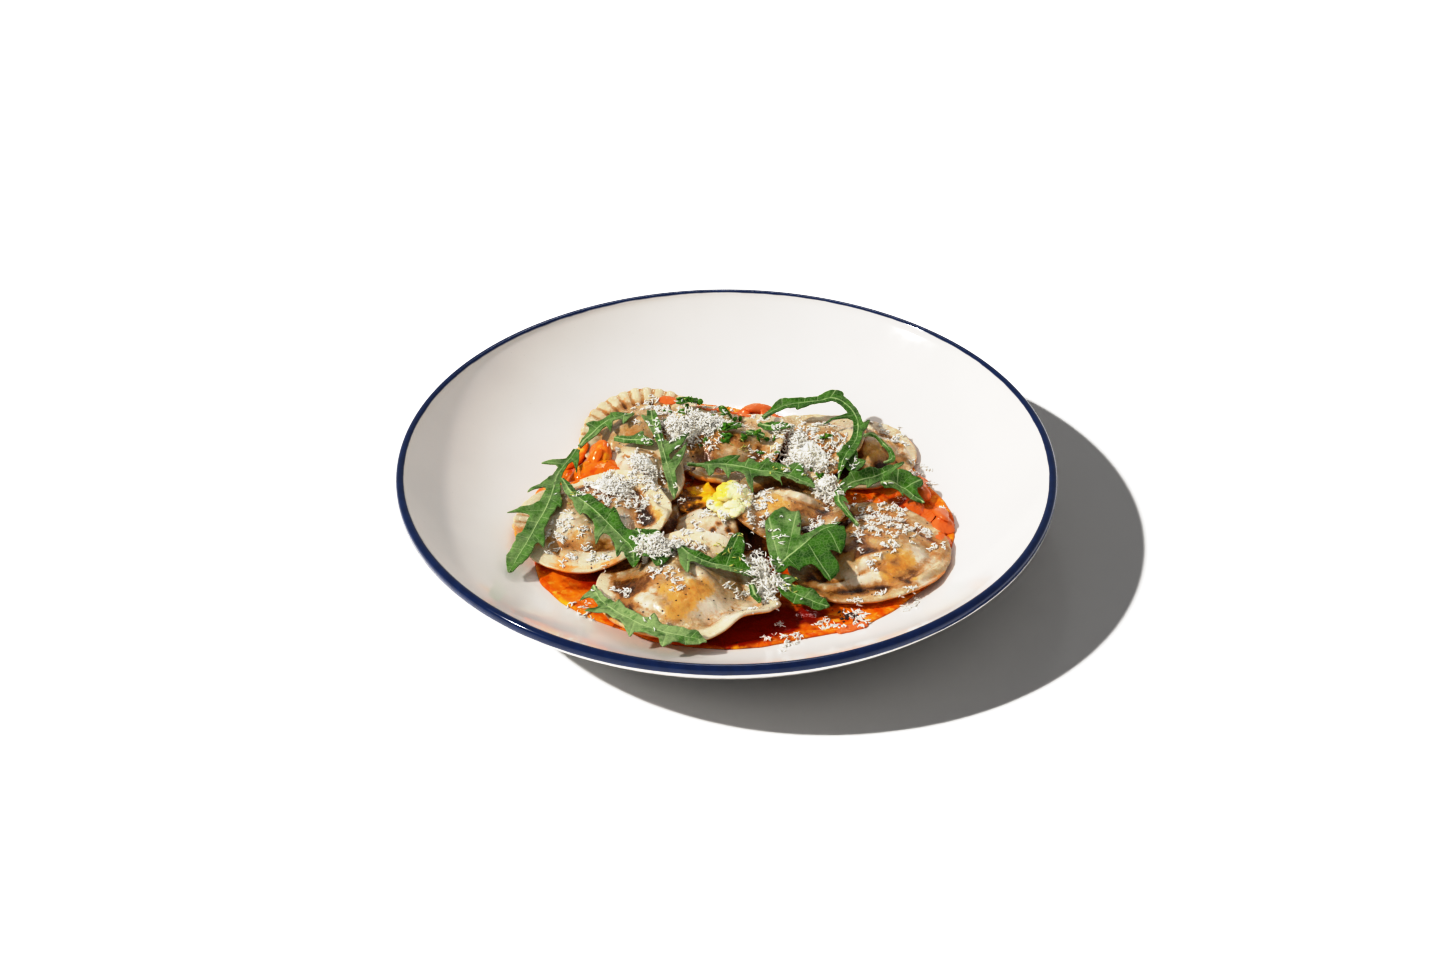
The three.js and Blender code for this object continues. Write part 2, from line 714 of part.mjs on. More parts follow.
    blade: [0.5, 0.9, 1.1, 1.2, 1.6, 0.8],
    cup: 0.2,
    lobes: [],
  },
  {
    name: "leaf_front_low",
    route: [[19.6, -52.4, 17.5], [23, -59, 17], [28, -62.8, 16.4], [37.1, -66.5, 15.6]],
    blade: [1, 4, 4.8, 4.2, 1.5],
    cup: 0.8,
    lobes: [[0.35, 1, 3, 2.4, 0.2], [0.65, 1, 3, 3, 0.2], [0.5, -1, 2, 2.5, 0.2]],
  },
  {
    name: "leaf_front_centre",
    route: [
      [-19.2, -37.4, 20.8], [-13.4, -44.3, 22.2], [-6.7, -48.4, 21.6], [0, -49.3, 20.6],
      [6.6, -50.6, 19.5], [12, -52, 18.4],
    ],
    blade: [1.4, 3, 3.4, 4, 4.2, 3],
    cup: 1.8,
    lobes: [[0.6, 1, 13, 2.8, 0], [0.13, -1, 9, 1.8, 0.3]],
  },
  {
    name: "leaf_front_broad",
    route: [
      [18.3, -48, 18.4], [21.8, -43.4, 19.4], [27.3, -37.6, 20.6], [33.5, -32.3, 22],
      [40.4, -27.7, 22.8], [44.4, -25.4, 22.8],
    ],
    blade: [1, 5.5, 7.6, 7, 6.2, 4.4],
    cup: 0.8,
    lobes: [[0.22, 1, 15, 4.6, 0.65], [0.48, -1, 10.5, 3.8, 0.15], [0.86, -1, 6, 2.8, 0.1]],
  },
  {
    name: "leaf_front",
    route: [
      [-48.5, -54.8, 16], [-45.5, -64.6, 17], [-39.9, -72.7, 18.4], [-33.8, -79.1, 19.4],
      [-27.8, -84, 20], [-22, -86.8, 19.8], [-15.5, -88.3, 18.6], [-7.2, -89.7, 16.4],
    ],
    blade: [1.2, 2.4, 4, 4.2, 4.2, 4.6, 4.4, 3],
    cup: 0.5,
    lobes: [
      [0.1, -1, 7, 2, 0], [0.25, -1, 7, 2, -0.2], [0.5, -1, 5.5, 2.6, 0.1],
      [0.78, -1, 5, 2.6, 0.2], [0.32, 1, 3, 2.4, 0], [0.66, 1, 4, 2.4, 0.1],
    ],
  },
];

// A small torn piece of herb: its two ends and its half width.
const HERBS = [
  { name: "herb_back_left", from: [-20, 54], to: [-11, 58], half: 2.8 },
  { name: "herb_back", from: [-2, 58], to: [0, 50], half: 2 },
  { name: "herb_back_mid", from: [-2, 35], to: [6, 38], half: 2.6 },
  { name: "herb_back_right", from: [8, 32.6], to: [15, 29.6], half: 2.4 },
  { name: "herb_front", from: [9, -58], to: [12, -67], half: 1.8 },
];

// The half width of a leaf's blade on one side, and how far its edge leans towards the tip.
function leafEdge(spec, length, share, side) {
  const place = share * (spec.blade.length - 1);
  const step = Math.min(Math.floor(place), spec.blade.length - 2);
  const body = spec.blade[step] + (spec.blade[step + 1] - spec.blade[step]) * smooth(place - step);
  let [half, lean] = [body * Math.sqrt(clamp((1 - share) / 0.12, 0.02, 1)), 0.3];
  for (const [at, on, reach, wide, forward] of spec.lobes) {
    if (on !== side) continue;
    const bump = Math.exp(-((((share - at) * length) / wide) ** 2));
    half += reach * bump;
    lean += (forward - lean) * bump;
  }
  return [half, lean];
}

function leafGeometry(spec, support) {
  const curve = new THREE.CatmullRomCurve3(spec.route.map((p) => new THREE.Vector3(...p)));
  const length = curve.getLength();
  const count = Math.max(5, Math.round(length / LEAF.station));
  const rows = [];
  for (let i = 0; i <= count; i++) {
    const share = i / count;
    const middle = curve.getPointAt(share);
    const ahead = curve.getTangentAt(share).setZ(0).normalize();
    const left = new THREE.Vector3(-ahead.y, ahead.x, 0);
    const row = [1, 0, -1].map((side) => {
      const point = middle.clone();
      if (side) {
        const [half, lean] = leafEdge(spec, length, share, side);
        point.addScaledVector(left, side * half).addScaledVector(ahead, lean * half);
        point.z += spec.cup * smooth(half / 8) + 0.35 * Math.sin(share * length * 0.55 + side);
      }
      point.z = Math.max(point.z, support.at(point.x, point.y) + LEAF.clearance + LEAF.thickness / 2);
      return point;
    });
    rows.push(row);
  }
  return sheetGeometry(rows, LEAF.thickness);
}

// A thin closed solid on a grid of points, three to a row, both faces split into triangles alike.
function sheetGeometry(rows, thickness) {
  const points = [];
  for (const lift of [thickness / 2, -thickness / 2])
    for (const row of rows) for (const p of row) points.push([p.x, p.y, p.z + lift]);
  const across = rows[0].length;
  const under = rows.length * across;
  const triangles = [];
  const quad = (a, b, c, d) => triangles.push(a, b, c, a, c, d);
  for (let i = 0; i + 1 < rows.length; i++) {
    for (let j = 0; j + 1 < across; j++) {
      const [a, b] = [i * across + j, i * across + j + 1];
      const [c, d] = [b + across, a + across];
      quad(a, b, c, d);
      triangles.push(under + a, under + c, under + b, under + a, under + d, under + c);
    }
    const [near, next] = [i * across, (i + 1) * across];
    quad(near, next, under + next, under + near);
    const [far, beyond] = [near + across - 1, next + across - 1];
    quad(far, under + far, under + beyond, beyond);
  }
  const end = (rows.length - 1) * across;
  for (let j = 0; j + 1 < across; j++) {
    quad(j, under + j, under + j + 1, j + 1);
    quad(end + j, end + j + 1, under + end + j + 1, under + end + j);
  }
  return indexed(points, triangles);
}

const greens = layer();
for (const spec of LEAVES) {
  const geometry = leafGeometry(spec, plated.support(3, 2));
  add(greens, spec.name, geometry, ROCKET, spec.route[2]);
}
for (const { name, from, to, half } of HERBS) {
  const support = plated.support(3, 2);
  const lift = LEAF.clearance + LEAF.thickness;
  const route = [0, 0.35, 0.7, 1].map((t) => {
    const [x, y] = [from[0] + (to[0] - from[0]) * t, from[1] + (to[1] - from[1]) * t];
    return [x, y, support.at(x, y) + lift + 0.6 * Math.sin(Math.PI * t)];
  });
  const spec = { route, blade: [half * 0.7, half, half * 0.8], cup: 0.5, lobes: [] };
  add(greens, name, leafGeometry(spec, support), HERB, from);
}

// ---------------------------------------------------------------- grated cheese
// Drifts thick enough to be a body: middle, half length, half width, height and turn in degrees, with
// their shreds.
const DRIFTS = [
  { name: "cheese_back_left", middle: [-14, 41], size: [13, 8.5, 2.2], turn: 25, shreds: 8 },
  { name: "cheese_left_middle", middle: [-31, 13], size: [8, 4, 1.8], turn: -62, shreds: 3 },
  { name: "cheese_left", middle: [-43, -2], size: [10, 6, 2], turn: -15, shreds: 5 },
  { name: "cheese_front", middle: [14, -50], size: [10, 4.2, 2], turn: 102, shreds: 4 },
  { name: "cheese_back_right", middle: [34, 26], size: [10, 5, 1.8], turn: -40, shreds: 4 },
  { name: "cheese_right", middle: [38, 4], size: [7, 3.4, 1.8], turn: -75, shreds: 3 },
  { name: "cheese_front_left", middle: [-28, -39], size: [7.5, 4.5, 2], turn: 0, shreds: 4 },
];
// Shreds that lie singly on one raviolo, fused to it: where they fall, as middle, spread and how many.
const FALLS = [
  { on: "ravioli_right", middle: [60, -24], spread: 15, count: 7 },
  { on: "ravioli_front", middle: [-12, -60], spread: 15, count: 5 },
  { on: "ravioli_back_right", middle: [32, 40], spread: 14, count: 3 },
  { on: "ravioli_left", middle: [-62, -24], spread: 11, count: 3 },
  { on: "ravioli_middle", middle: [-8, -24], spread: 8, count: 2 },
];

// One bent sliver: a square section along two straight stretches.
function shredGeometry(x, y, z, heading, rise, bend) {
  const half = SHRED.length / 2;
  const stops = [-half, 0, half].map((t, k) => {
    const turned = heading + (k === 2 ? bend : 0);
    return new THREE.Vector3(x + t * Math.cos(turned), y + t * Math.sin(turned), z + rise * (t + half));
  });
  const rings = stops.map((p, k) => {
    const way = stops[Math.min(k + 1, 2)].clone().sub(stops[Math.max(k - 1, 0)]).normalize();
    const side = new THREE.Vector3(-way.y, way.x, 0).normalize().multiplyScalar(SHRED.width / 2);
    const up = new THREE.Vector3(0, 0, SHRED.thickness / 2);
    return [[1, 1], [-1, 1], [-1, -1], [1, -1]].map(([a, b]) =>
      p.clone().addScaledVector(side, a).addScaledVector(up, b).toArray(),
    );
  });
  const points = rings.flat();
  const triangles = [0, 2, 1, 0, 3, 2, 8, 9, 10, 8, 10, 11];
  for (let k = 0; k < 2; k++)
    for (let e = 0; e < 4; e++) {
      const [a, b] = [k * 4 + e, k * 4 + ((e + 1) % 4)];
      triangles.push(a, b, b + 4, a, b + 4, a + 4);
    }
  return indexed(points, triangles);
}

function driftGeometry(spec, number) {
  const support = plated.support(4, 2);
  const [length, width, height] = spec.size;
  const spokes = 12;
  const [c, s] = [Math.cos(spec.turn * DEG), Math.sin(spec.turn * DEG)];
  const random = seeded(100 + number);
  const place = (share, angle) => {
    const ragged = 1 + 0.12 * Math.sin(4 * angle + number) + 0.08 * Math.sin(7 * angle + 3 * number);
    const [u, v] = [length * share * ragged * Math.cos(angle), width * share * ragged * Math.sin(angle)];
    return [spec.middle[0] + u * c - v * s, spec.middle[1] + u * s + v * c];
  };
  const rest = (x, y) => support.at(x, y) + PASTA.gap;
  const ring = (share, lift) => {
    const points = [];
    for (let k = 0; k < spokes; k++) {
      const [x, y] = place(share, (k / spokes) * 2 * Math.PI);
      points.push([x, y, rest(x, y) + lift * (0.8 + 0.4 * (lift ? random() : 0))]);
    }
    return points;
  };
  const rings = [
    ring(0.4, height),
    ring(0.75, height * 0.75),
    ring(1, height * 0.35),
    ring(0.97, 0),
    ring(0.5, 0),
  ];
  const [x, y] = spec.middle;
  let solid = solidOf(lofted([x, y, rest(x, y) + height], rings, [x, y, rest(x, y)]));
  for (let k = 0; k < spec.shreds; k++) {
    const share = 0.72 * Math.sqrt((k + 0.5) / spec.shreds);
    const [px, py] = place(share, k * 2.4);
    const z = rest(px, py) + height * (1.1 - 0.6 * share * share);
    const [heading, rise, bend] = [random() * Math.PI, 0.1 + 0.2 * random(), 1.4 * random() - 0.7];
    const shred = shredGeometry(px, py, z, heading, rise, bend);
    solid = solid.add(solidOf(shred));
  }
  return geometryOf(solid);
}

const gratings = layer();
DRIFTS.forEach((spec, number) => {
  add(gratings, spec.name, driftGeometry(spec, number), CHEESE, spec.middle);
});

// Shreds go only where the raviolo is bare for their whole length.
function bareAround(x, y, owner) {
  const reach = SHRED.length / 2 + 1.6;
  for (let turn = 0; turn < 8; turn++) {
    const angle = (turn * Math.PI) / 4;
    const near = plated.ownerAt(x + reach * Math.cos(angle), y + reach * Math.sin(angle));
    if (near !== owner) return false;
  }
  return plated.ownerAt(x, y) === owner;
}

FALLS.forEach(({ on, middle, spread, count }, number) => {
  const mesh = nodes.get(on);
  const random = seeded(500 + number);
  let solid = solidOf(mesh.geometry);
  let placed = 0;
  for (let k = 0; k < 400 && placed < count; k++) {
    const reach = spread * Math.sqrt(random());
    const angle = random() * 2 * Math.PI;
    const [x, y] = [middle[0] + reach * Math.cos(angle), middle[1] + reach * Math.sin(angle)];
    const [heading, bend] = [random() * Math.PI, 1.2 * random() - 0.6];
    if (!bareAround(x, y, on)) continue;
    const local = [x - mesh.position.x, y - mesh.position.y];
    const shred = shredGeometry(...local, plated.at(x, y) + 0.15, heading, 0, bend);
    solid = solid.add(solidOf(shred));
    placed++;
  }
  mesh.geometry = geometryOf(solid);
});

export default dish;
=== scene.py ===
"""A coupe bowl of plated ravioli, dressed around its packed frame.

The bowl is turned from one ring of edges. Each raviolo, the sauce and the small lumps take their
heights from their own solid in the frame and get the folds, flutes, lumps and juices of the real
food. Leaves follow their midribs. Grated cheese, pepper and zest are dropped onto what lies there.
Modelling sizes are in millimetres and become metres when a mesh is written.
"""
import math

import bpy
import numpy as np
from bpy.props import FloatProperty, FloatVectorProperty, IntProperty, PointerProperty
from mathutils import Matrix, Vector
from mathutils.bvhtree import BVHTree


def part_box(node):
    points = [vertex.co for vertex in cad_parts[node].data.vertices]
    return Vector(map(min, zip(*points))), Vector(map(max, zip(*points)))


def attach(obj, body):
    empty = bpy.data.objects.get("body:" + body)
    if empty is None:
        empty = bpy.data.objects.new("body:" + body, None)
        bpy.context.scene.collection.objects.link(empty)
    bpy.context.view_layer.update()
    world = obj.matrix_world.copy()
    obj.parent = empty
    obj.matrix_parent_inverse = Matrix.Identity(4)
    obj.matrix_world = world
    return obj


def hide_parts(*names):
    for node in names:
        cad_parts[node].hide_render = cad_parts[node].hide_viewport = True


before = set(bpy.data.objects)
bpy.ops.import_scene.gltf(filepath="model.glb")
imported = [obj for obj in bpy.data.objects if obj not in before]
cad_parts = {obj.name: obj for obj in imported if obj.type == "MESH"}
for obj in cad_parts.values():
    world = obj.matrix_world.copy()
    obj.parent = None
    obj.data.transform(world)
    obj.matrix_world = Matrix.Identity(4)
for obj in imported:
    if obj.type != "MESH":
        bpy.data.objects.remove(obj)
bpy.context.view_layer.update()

bl_info = {
    "name": "Plated ravioli",
    "version": (1, 0, 0),
    "blender": (4, 5, 0),
    "location": "3D View > Sidebar > Ravioli",
    "description": "Dresses a bowl of ravioli with glaze, sauce, pasta, leaves and cheese",
    "category": "Add Mesh",
}

MM = 0.001
# Upper corner of the bowl's box: its radius and its height.
BOWL_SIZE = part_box("bowl")[1]

# ---------------------------------------------------------------- sizes shared with the solids
BASE_TOP = 7.0
BASE_RADIUS = 59.0
LIP_RADIUS = 122.0
LIP_HEIGHT = 35.0
FLUTE_PITCH = 5.4
SAUCE_LEVEL = 9.7
LIP_SLOPE = 2 * math.atan((LIP_HEIGHT - BASE_TOP) / (LIP_RADIUS - BASE_RADIUS))
ARC_RADIUS = (LIP_RADIUS - BASE_RADIUS) / math.sin(LIP_SLOPE)

# ---------------------------------------------------------------- sizes of the scene's own
# Outside of the foot ring, from its inner edge out: radius and height.
FOOT_RING = [
    (50.6, 1.6), (51, 0.7), (51.6, 0.15), (52.4, 0), (55.9, 0), (56.7, 0.2), (57.3, 0.8), (58, 1.9),
]
# Radius of the bowl's rounded lip.
LIP_BEAD = 1.75
# Distance from a raviolo's edge to the crease round its filling, its thinnest dough and the radius
# that its lip is rounded with.
RIM_WIDTH = 8.4
THINNEST_DOUGH = 1.3
LIP_ROUNDING = 1.3
# Relief of the dough: its grain, the crease and the pleats round the filling, and the uneven rim.
GRAIN_HEIGHT = 0.16
CREASE_DEPTH = 0.55
PLEAT_HEIGHT = 0.34
RIM_UNEVEN = 0.3
# Room that a rim which sinks down keeps above what is under it.
SETTLED_GAP = 0.4
# How much of a leaf's half width is left between the lobes, and the thickness of the blade, of a
# scrap of herb and at the midrib.
SLIMMED = 0.84
LEAF_THICKNESS = 0.35
HERB_THICKNESS = 0.4
MIDRIB_THICKNESS = 1.5
# How far the edges of the solids of leaves and cheese are eased.
THIN_EASE = 0.9
# Shreds that cling together in a tuft, and how many tufts a heap gets for each of its count.
TUFT = 11
TUFTS_PER_COUNT = 0.26
# Sprinkled shreds that fell together, and what their table's spreads and numbers are scaled by.
SPRINKLED_CLUMP = 5
SPRINKLED_WIDER = 1.2
SPRINKLED_MORE = 1.7
# Share of the shreds and of the grains of pepper that stay where they fell on a leaf.
SHREDS_ON_LEAVES = 0.06
PEPPER_ON_LEAVES = 0.2
# Crumbs that the knob of curd is made of, and grains of pepper with the round that they lie in.
CURD_CRUMBS = 44
PEPPER_GRAINS = 800
PEPPER_MIDDLE = (4, -8)
PEPPER_REACH = 74

# ---------------------------------------------------------------- the stage, with lengths in metres
CAMERA_TARGET = Vector((-0.00237, 0, 0.025))
TOWARD_SUN = Vector((-0.732, -0.129, 0.669))
TOWARD_BACK_LIGHT = Vector((0.02, 0.65, 0.76)).normalized()
SUN_WIDTH = math.radians(2.6)
BACK_LIGHT_SIZE = 0.16
FLOOR_SIZE = 6
LAMP_COLOUR = (1, 0.985, 0.96)
WORLD_COLOUR = (1, 0.985, 0.975, 1)

# ---------------------------------------------------------------- where the food differs
# Stretches of rim pressed into flutes: middle and radius of the raviolo, first and last direction in
# degrees, and depth.
FLUTED = {
    "ravioli_back_left": ((-31, 46.5), 27.5, 50, 190, 0.2),
    "ravioli_left": ((-51, -12), 30, 150, 215, 0.2),
    "ravioli_far_right": ((53, 33.5), 22.5, -10, 85, 0.1),
}
# Rims that curl up: direction and half width in degrees, further lift, and how far they draw in.
LIFTED = {
    "ravioli_front": (-38, 26, 2.8, 2.5),
    "ravioli_left": (-92, 45, -0.9, -2.8),
    "ravioli_back_left": (105, 50, 2.6, 0.0),
}
# Rims that sink onto what they lie on: direction and half width in degrees, and the share of the gap
# under them that closes.
SETTLED = {
    "ravioli_far_right": (0, 52, 0.9),
    "ravioli_right": (-2, 55, 0.85),
}
# How far the colour of the filling and the juices, with the painted shade of the hollows and the crease,
# reaches out over each rim, from 0 to 1.
STAINED_RIM = {
    "ravioli_left": 0.1, "ravioli_front": 0.05, "ravioli_back_left": 0.15, "ravioli_right": 0.6,
    "ravioli_far_right": 0.5, "ravioli_centre_right": 0.7, "ravioli_left_middle": 0.3,
}
# How strongly the filling shows through each dome.
FILLED = {
    "ravioli_left": 0.95, "ravioli_front": 0.95, "ravioli_back_left": 0.9, "ravioli_left_middle": 0.8,
    "ravioli_far_right": 0.85, "ravioli_middle": 0.6, "ravioli_right": 1.25,
}
# Soft peeled tomato on the left: x, y, half length, half width, turn in degrees and height. A seventh
# number is the level that a lump stands on.
LOBES = [
    (-48.4, 28, 7, 3.8, 100, 5.5, 16.8), (-50, 19, 8.6, 7.4, 15, 4.2, 15), (-60, 35.5, 8, 4, 62, 2.2),
    (-43, 16, 7, 3.2, -30, 2.6, 16.2), (-58, 16, 7, 6, 40, 3), (-70, 12.5, 6, 4.5, 75, 1.8),
]
# Sauce spilled over what lies there, in the same order.
SPILLS = [
    (-22, 67, 5, 2.6, 0, 0.9), (-8, 60, 8, 3.2, 8, 1.2), (3, 63, 6.5, 4, 25, 2.6),
    (11, 60, 6, 3.5, -10, 1.8), (19, 64, 6, 3.5, 0, 2.2), (79, -5, 6, 4.5, 80, 1.4),
    (82.5, -14, 5.5, 4.2, 100, 1.2), (82, -23, 4.5, 2.6, 100, 0.9), (73, 2, 6, 4, 120, 1.6),
    (75, 18, 5, 4, 95, 1.3), (46, -74, 6, 3, 20, 0.9),
]
# Where the spilled sauce is yellow: x, y, reach and strength.
SPILL_YELLOW = [
    (-8, 60, 9, 1), (10, 60, 5, 0.6), (-50, 8, 5, 0.5), (-47, 22.4, 3, 0.6), (-46, 11.6, 4, 0.5),
    (-62.9, 37.3, 4, 0.4), (-43.7, 6.9, 4, 0.6), (80, -8, 4.5, 0.95), (84, -17, 5, 1), (76, 12, 4, 0.8),
    (88, -12, 4, 0.9), (74, 20, 3, 0.7), (81, -2, 4, 0.9), (83, -12, 4, 0.95), (78, 7, 3, 0.7),
    (3, 63, 4, 0.5), (84, -25, 4, 0.9),
]
# Where it is thick and dark red.
SPILL_DEEP = [(78, 3, 4, 0.8), (79, -10, 3, 0.8), (72, 9, 4, 0.7), (79, -20, 3, 0.7), (75, -3, 4, 0.8)]
# Browned butter in the middle: its outline, and where it is burnt dark, as x, y, reach and strength.
BUTTER_POOL = [
    (-18, -1), (-17, 9), (-13, 14), (-7, 15), (-4, 12), (-4.5, 1.5), (-4, -13), (-8, -13), (-13, -9),
]
BURNT_RIM = [
    (-17, 1, 4, 0.9), (-16, 8, 3, 0.7), (-13, -6, 4, 0.9), (-7, -11, 4, 0.9), (-10, -3, 3.5, 0.6),
    (-14, 3, 3, 0.6), (-10, 4, 2, 0.5),
]
# Where that butter is bright yellow: x, y, reach and strength.
BUTTER_YELLOW = [(-8, 8, 5, 1), (-6.5, 2, 4, 1), (-5, 12, 4, 0.9), (-6, -5, 2.5, 0.6)]
# The soft curd: x, y, reach and strength of its butter-yellow part.
YOLK = [(-6, 6, 6, 1), (-5, -2, 5.5, 1), (-3, -8, 4.5, 0.9), (-4, 11, 4.5, 0.9), (-1, 1, 3.5, 0.7)]
# Where juice has darkened the spilled sauce: x, y, reach and strength.
SPILL_BROWNED = [(82, -30, 4, 0.6), (70, 8, 4, 0.5)]
# Where oil lies yellow in the pool of sauce: x, y, reach and strength.
POOL_OIL = [(10, -90, 6, 0.9), (0, -91, 6, 0.7), (40, -78, 6, 0.4)]
# Parts of the sauce that are dark red: thick sauce, and painted shade under the front raviolo's lifted
# flap and the left raviolo's lip. x, y, reach and strength.
DEEP_SAUCE_AND_SHADE = [
    (6, -73, 11, 1), (-4, -79, 8, 0.9), (18, -67, 11, 1), (-50, -42, 8, 0.6), (-42, -44, 6, 0.8),
    (30, -64, 7, 0.8), (70, 4, 8, 0.6), (-58, -46, 6, 0.35),
]
# Folds of slack dough: the line of the ridge, its half width and its height.
FOLDS = {
    "ravioli_left_middle": [
        ([(-44, 25), (-37, 15), (-30, 7)], 2.3, 1.4),
        ([(-38, 27), (-30, 21), (-23, 16)], 2.0, 1.1),
    ],
    "ravioli_left": [
        ([(-31, -4), (-24.3, -16), (-20, -27)], 2.5, 1.6),
        ([(-70, -2), (-62, 3), (-52, 4)], 2.0, 0.8),
        ([(-60, -33), (-50, -36), (-40, -35)], 2.2, 0.7),
    ],
    "ravioli_middle": [
        ([(3, -14), (4, -24), (-1, -33)], 1.9, 1.1),
        ([(-14, -20), (-8, -26), (-6, -34)], 1.8, 0.6),
    ],
    "ravioli_centre_right": [
        ([(22, -3), (28, -8), (36, -9)], 2.1, 1.4),
        ([(6, -17), (9, -22), (8, -27)], 1.9, 1.0),
        ([(14, -14), (22, -19), (30, -19)], 2.0, 0.8),
    ],
    "ravioli_front": [
        ([(-13, -49), (-7, -54), (-3, -56)], 2.0, 1.0),
        ([(-32, -62), (-25, -67), (-19, -72)], 2.0, 0.9),
        ([(-24, -48), (-16, -53), (-12, -60)], 2.2, 0.7),
    ],
    "ravioli_right": [
        ([(33, -49), (40, -51.5), (48, -50.5), (56, -50.5), (63, -54)], 2.2, 1.4),
        ([(69, -53), (77, -47), (82, -40)], 1.8, 1.1),
        ([(71, -59), (76, -54), (80, -49)], 1.5, 0.8),
        ([(45, -46), (52, -42), (60, -41)], 2.2, 1.0),
        ([(66, -22), (73, -26), (79, -33)], 2.0, 0.8),
    ],
    "ravioli_back_right": [([(44, 41), (50, 36), (51, 29)], 2.0, 0.9)],
    "ravioli_far_right": [([(48, 24), (55, 23), (61, 27)], 2.0, 0.8)],
    "ravioli_back_left": [([(-44, 40), (-38, 34), (-29, 31)], 2.0, 0.8)],
}
# Browned and amber butter, milky film and tomato juice on the food: x, y, reach and strength of each
# spot. Some of the browned spots are painted shade instead: shadows beside the leaves and the shaded
# lower right of the far right dome.
BROWNED_AND_SHADE = [
    (-42, 66, 3, 0.35), (-48, 60, 2.5, 0.3), (-37, 43, 3.5, 0.4), (-34, 26, 3, 0.25), (-37, 37, 4, 0.5),
    (-11, 34, 5, 0.55), (-8, 37, 3, 0.6), (2, 33, 4, 0.85), (7, 31, 3, 0.4), (12, 25, 4, 0.5),
    (-9, 26, 4, 0.55), (-3, 22, 4, 0.6), (-6, 29, 4, 0.55), (-14, 19, 3, 0.95), (-49, -2, 5, 0.8),
    (-42, -2, 5, 0.75), (-56, 0, 4, 0.75), (-36, -4, 4, 0.6), (-29.5, -16.8, 3, 0.95), (-53, 2, 4, 0.6),
    (-45, -6, 4.5, 0.6), (-26.3, -25, 2.8, 1), (-32.3, -10.5, 2.6, 0.9), (-31, -15, 2.8, 1),
    (-23.2, -29.4, 2.8, 1), (-28.8, -20, 2.8, 1), (-19.2, -30.5, 2.4, 0.9), (-38, -12, 4, 0.25),
    (-15, 3, 5, 1), (-12, -3, 4, 1), (-16, -5, 3, 0.9), (-6, -31, 3, 0.4), (-56, -26, 6, 0.3),
    (-63, -29, 4, 0.3), (-48, -14, 4, 0.35), (-60, -10, 4, 0.35), (5, -24, 3, 0.5), (-31, -55, 5, 0.85),
    (-36, -52, 3.5, 1), (-35, -57, 4, 1), (-40, -50, 3.5, 0.9), (-43, -47, 2.5, 0.95),
    (-35, -65, 5, 0.45), (-15, -59, 3, 0.4), (-23, -55, 5, 0.3), (18, 25, 4, 0.6), (39, 26, 4, 0.5),
    (33, 33, 5, 0.45), (36, 27, 5, 0.45), (42, 35, 4, 0.5), (60.5, 23, 4, 0.85), (53, 21.5, 3, 0.7),
    (64, 31, 3, 0.45), (70, 29, 3, 0.5), (73, 24, 4, 0.45), (66, 25, 3, 0.6), (61, 34, 2.5, 0.35),
    (86, -20, 3.5, 0.6), (87, -30, 3.5, 0.65), (88, -38, 3, 0.5), (84, -13, 4, 0.45), (28, -14, 5, 0.55),
    (35, -13, 5, 0.5), (9, -23, 4, 0.5), (20, 10, 7, 0.45), (14, 3, 5, 0.5), (13, -31, 4, 1),
    (9, -28, 5, 0.65), (30, -27, 4, 0.85), (40, -16, 4, 0.5), (22, -24, 4, 0.6), (54, 1, 9, 0.42),
    (52, -11, 9, 0.44), (49, -21, 8, 0.42), (62, -14, 8, 0.42), (67, -3, 6, 0.4), (58, -3.5, 4, 0.3),
    (65, -8.5, 4, 0.25), (50, -30, 4, 0.5), (48, -13, 4, 0.3), (56, -27, 6, 0.4), (66, -30, 4, 0.35),
    (74, -20, 5, 0.35), (76, -28, 5, 0.4), (81, -38, 4, 0.5), (80, -31, 4, 0.5), (83, -47, 3, 0.9),
    (84, -40, 3, 0.85), (82, -25, 4.5, 0.6), (78, -52, 3, 0.6), (43, -35, 3.5, 1), (52, -39, 4, 0.9),
    (48, -34, 4, 0.9), (58, -40, 3, 0.5), (32, -54, 4, 1), (29, -51, 3.5, 1), (37, -57, 4.5, 1),
    (43, -56, 3.6, 1), (50, -56.5, 3, 0.95), (57, -57, 3.2, 1), (34, -45, 4, 1), (30, -47, 4, 1),
    (67, -55, 3, 0.75), (48, -61, 6, 0.25), (62, -44, 2.5, 0.5), (68, -47, 2.5, 0.5), (57, -47, 2.5, 0.5),
    (64, -53, 3, 0.6), (44, 16, 5, 0.6), (48, 20, 4, 0.8), (-2, -27, 1.6, 1), (1, -24, 1.3, 1),
    (3.5, -27.5, 1.5, 1), (-5, -24, 1.3, 1), (-3, -21.5, 1.4, 0.9), (0, -29, 1.4, 0.9),
    (-8, -27, 1.2, 0.9), (6, -21, 1.6, 0.9), (-52, -24, 2, 0.35), (-47, -29, 3, 0.6), (-66, -25, 2, 0.3),
]
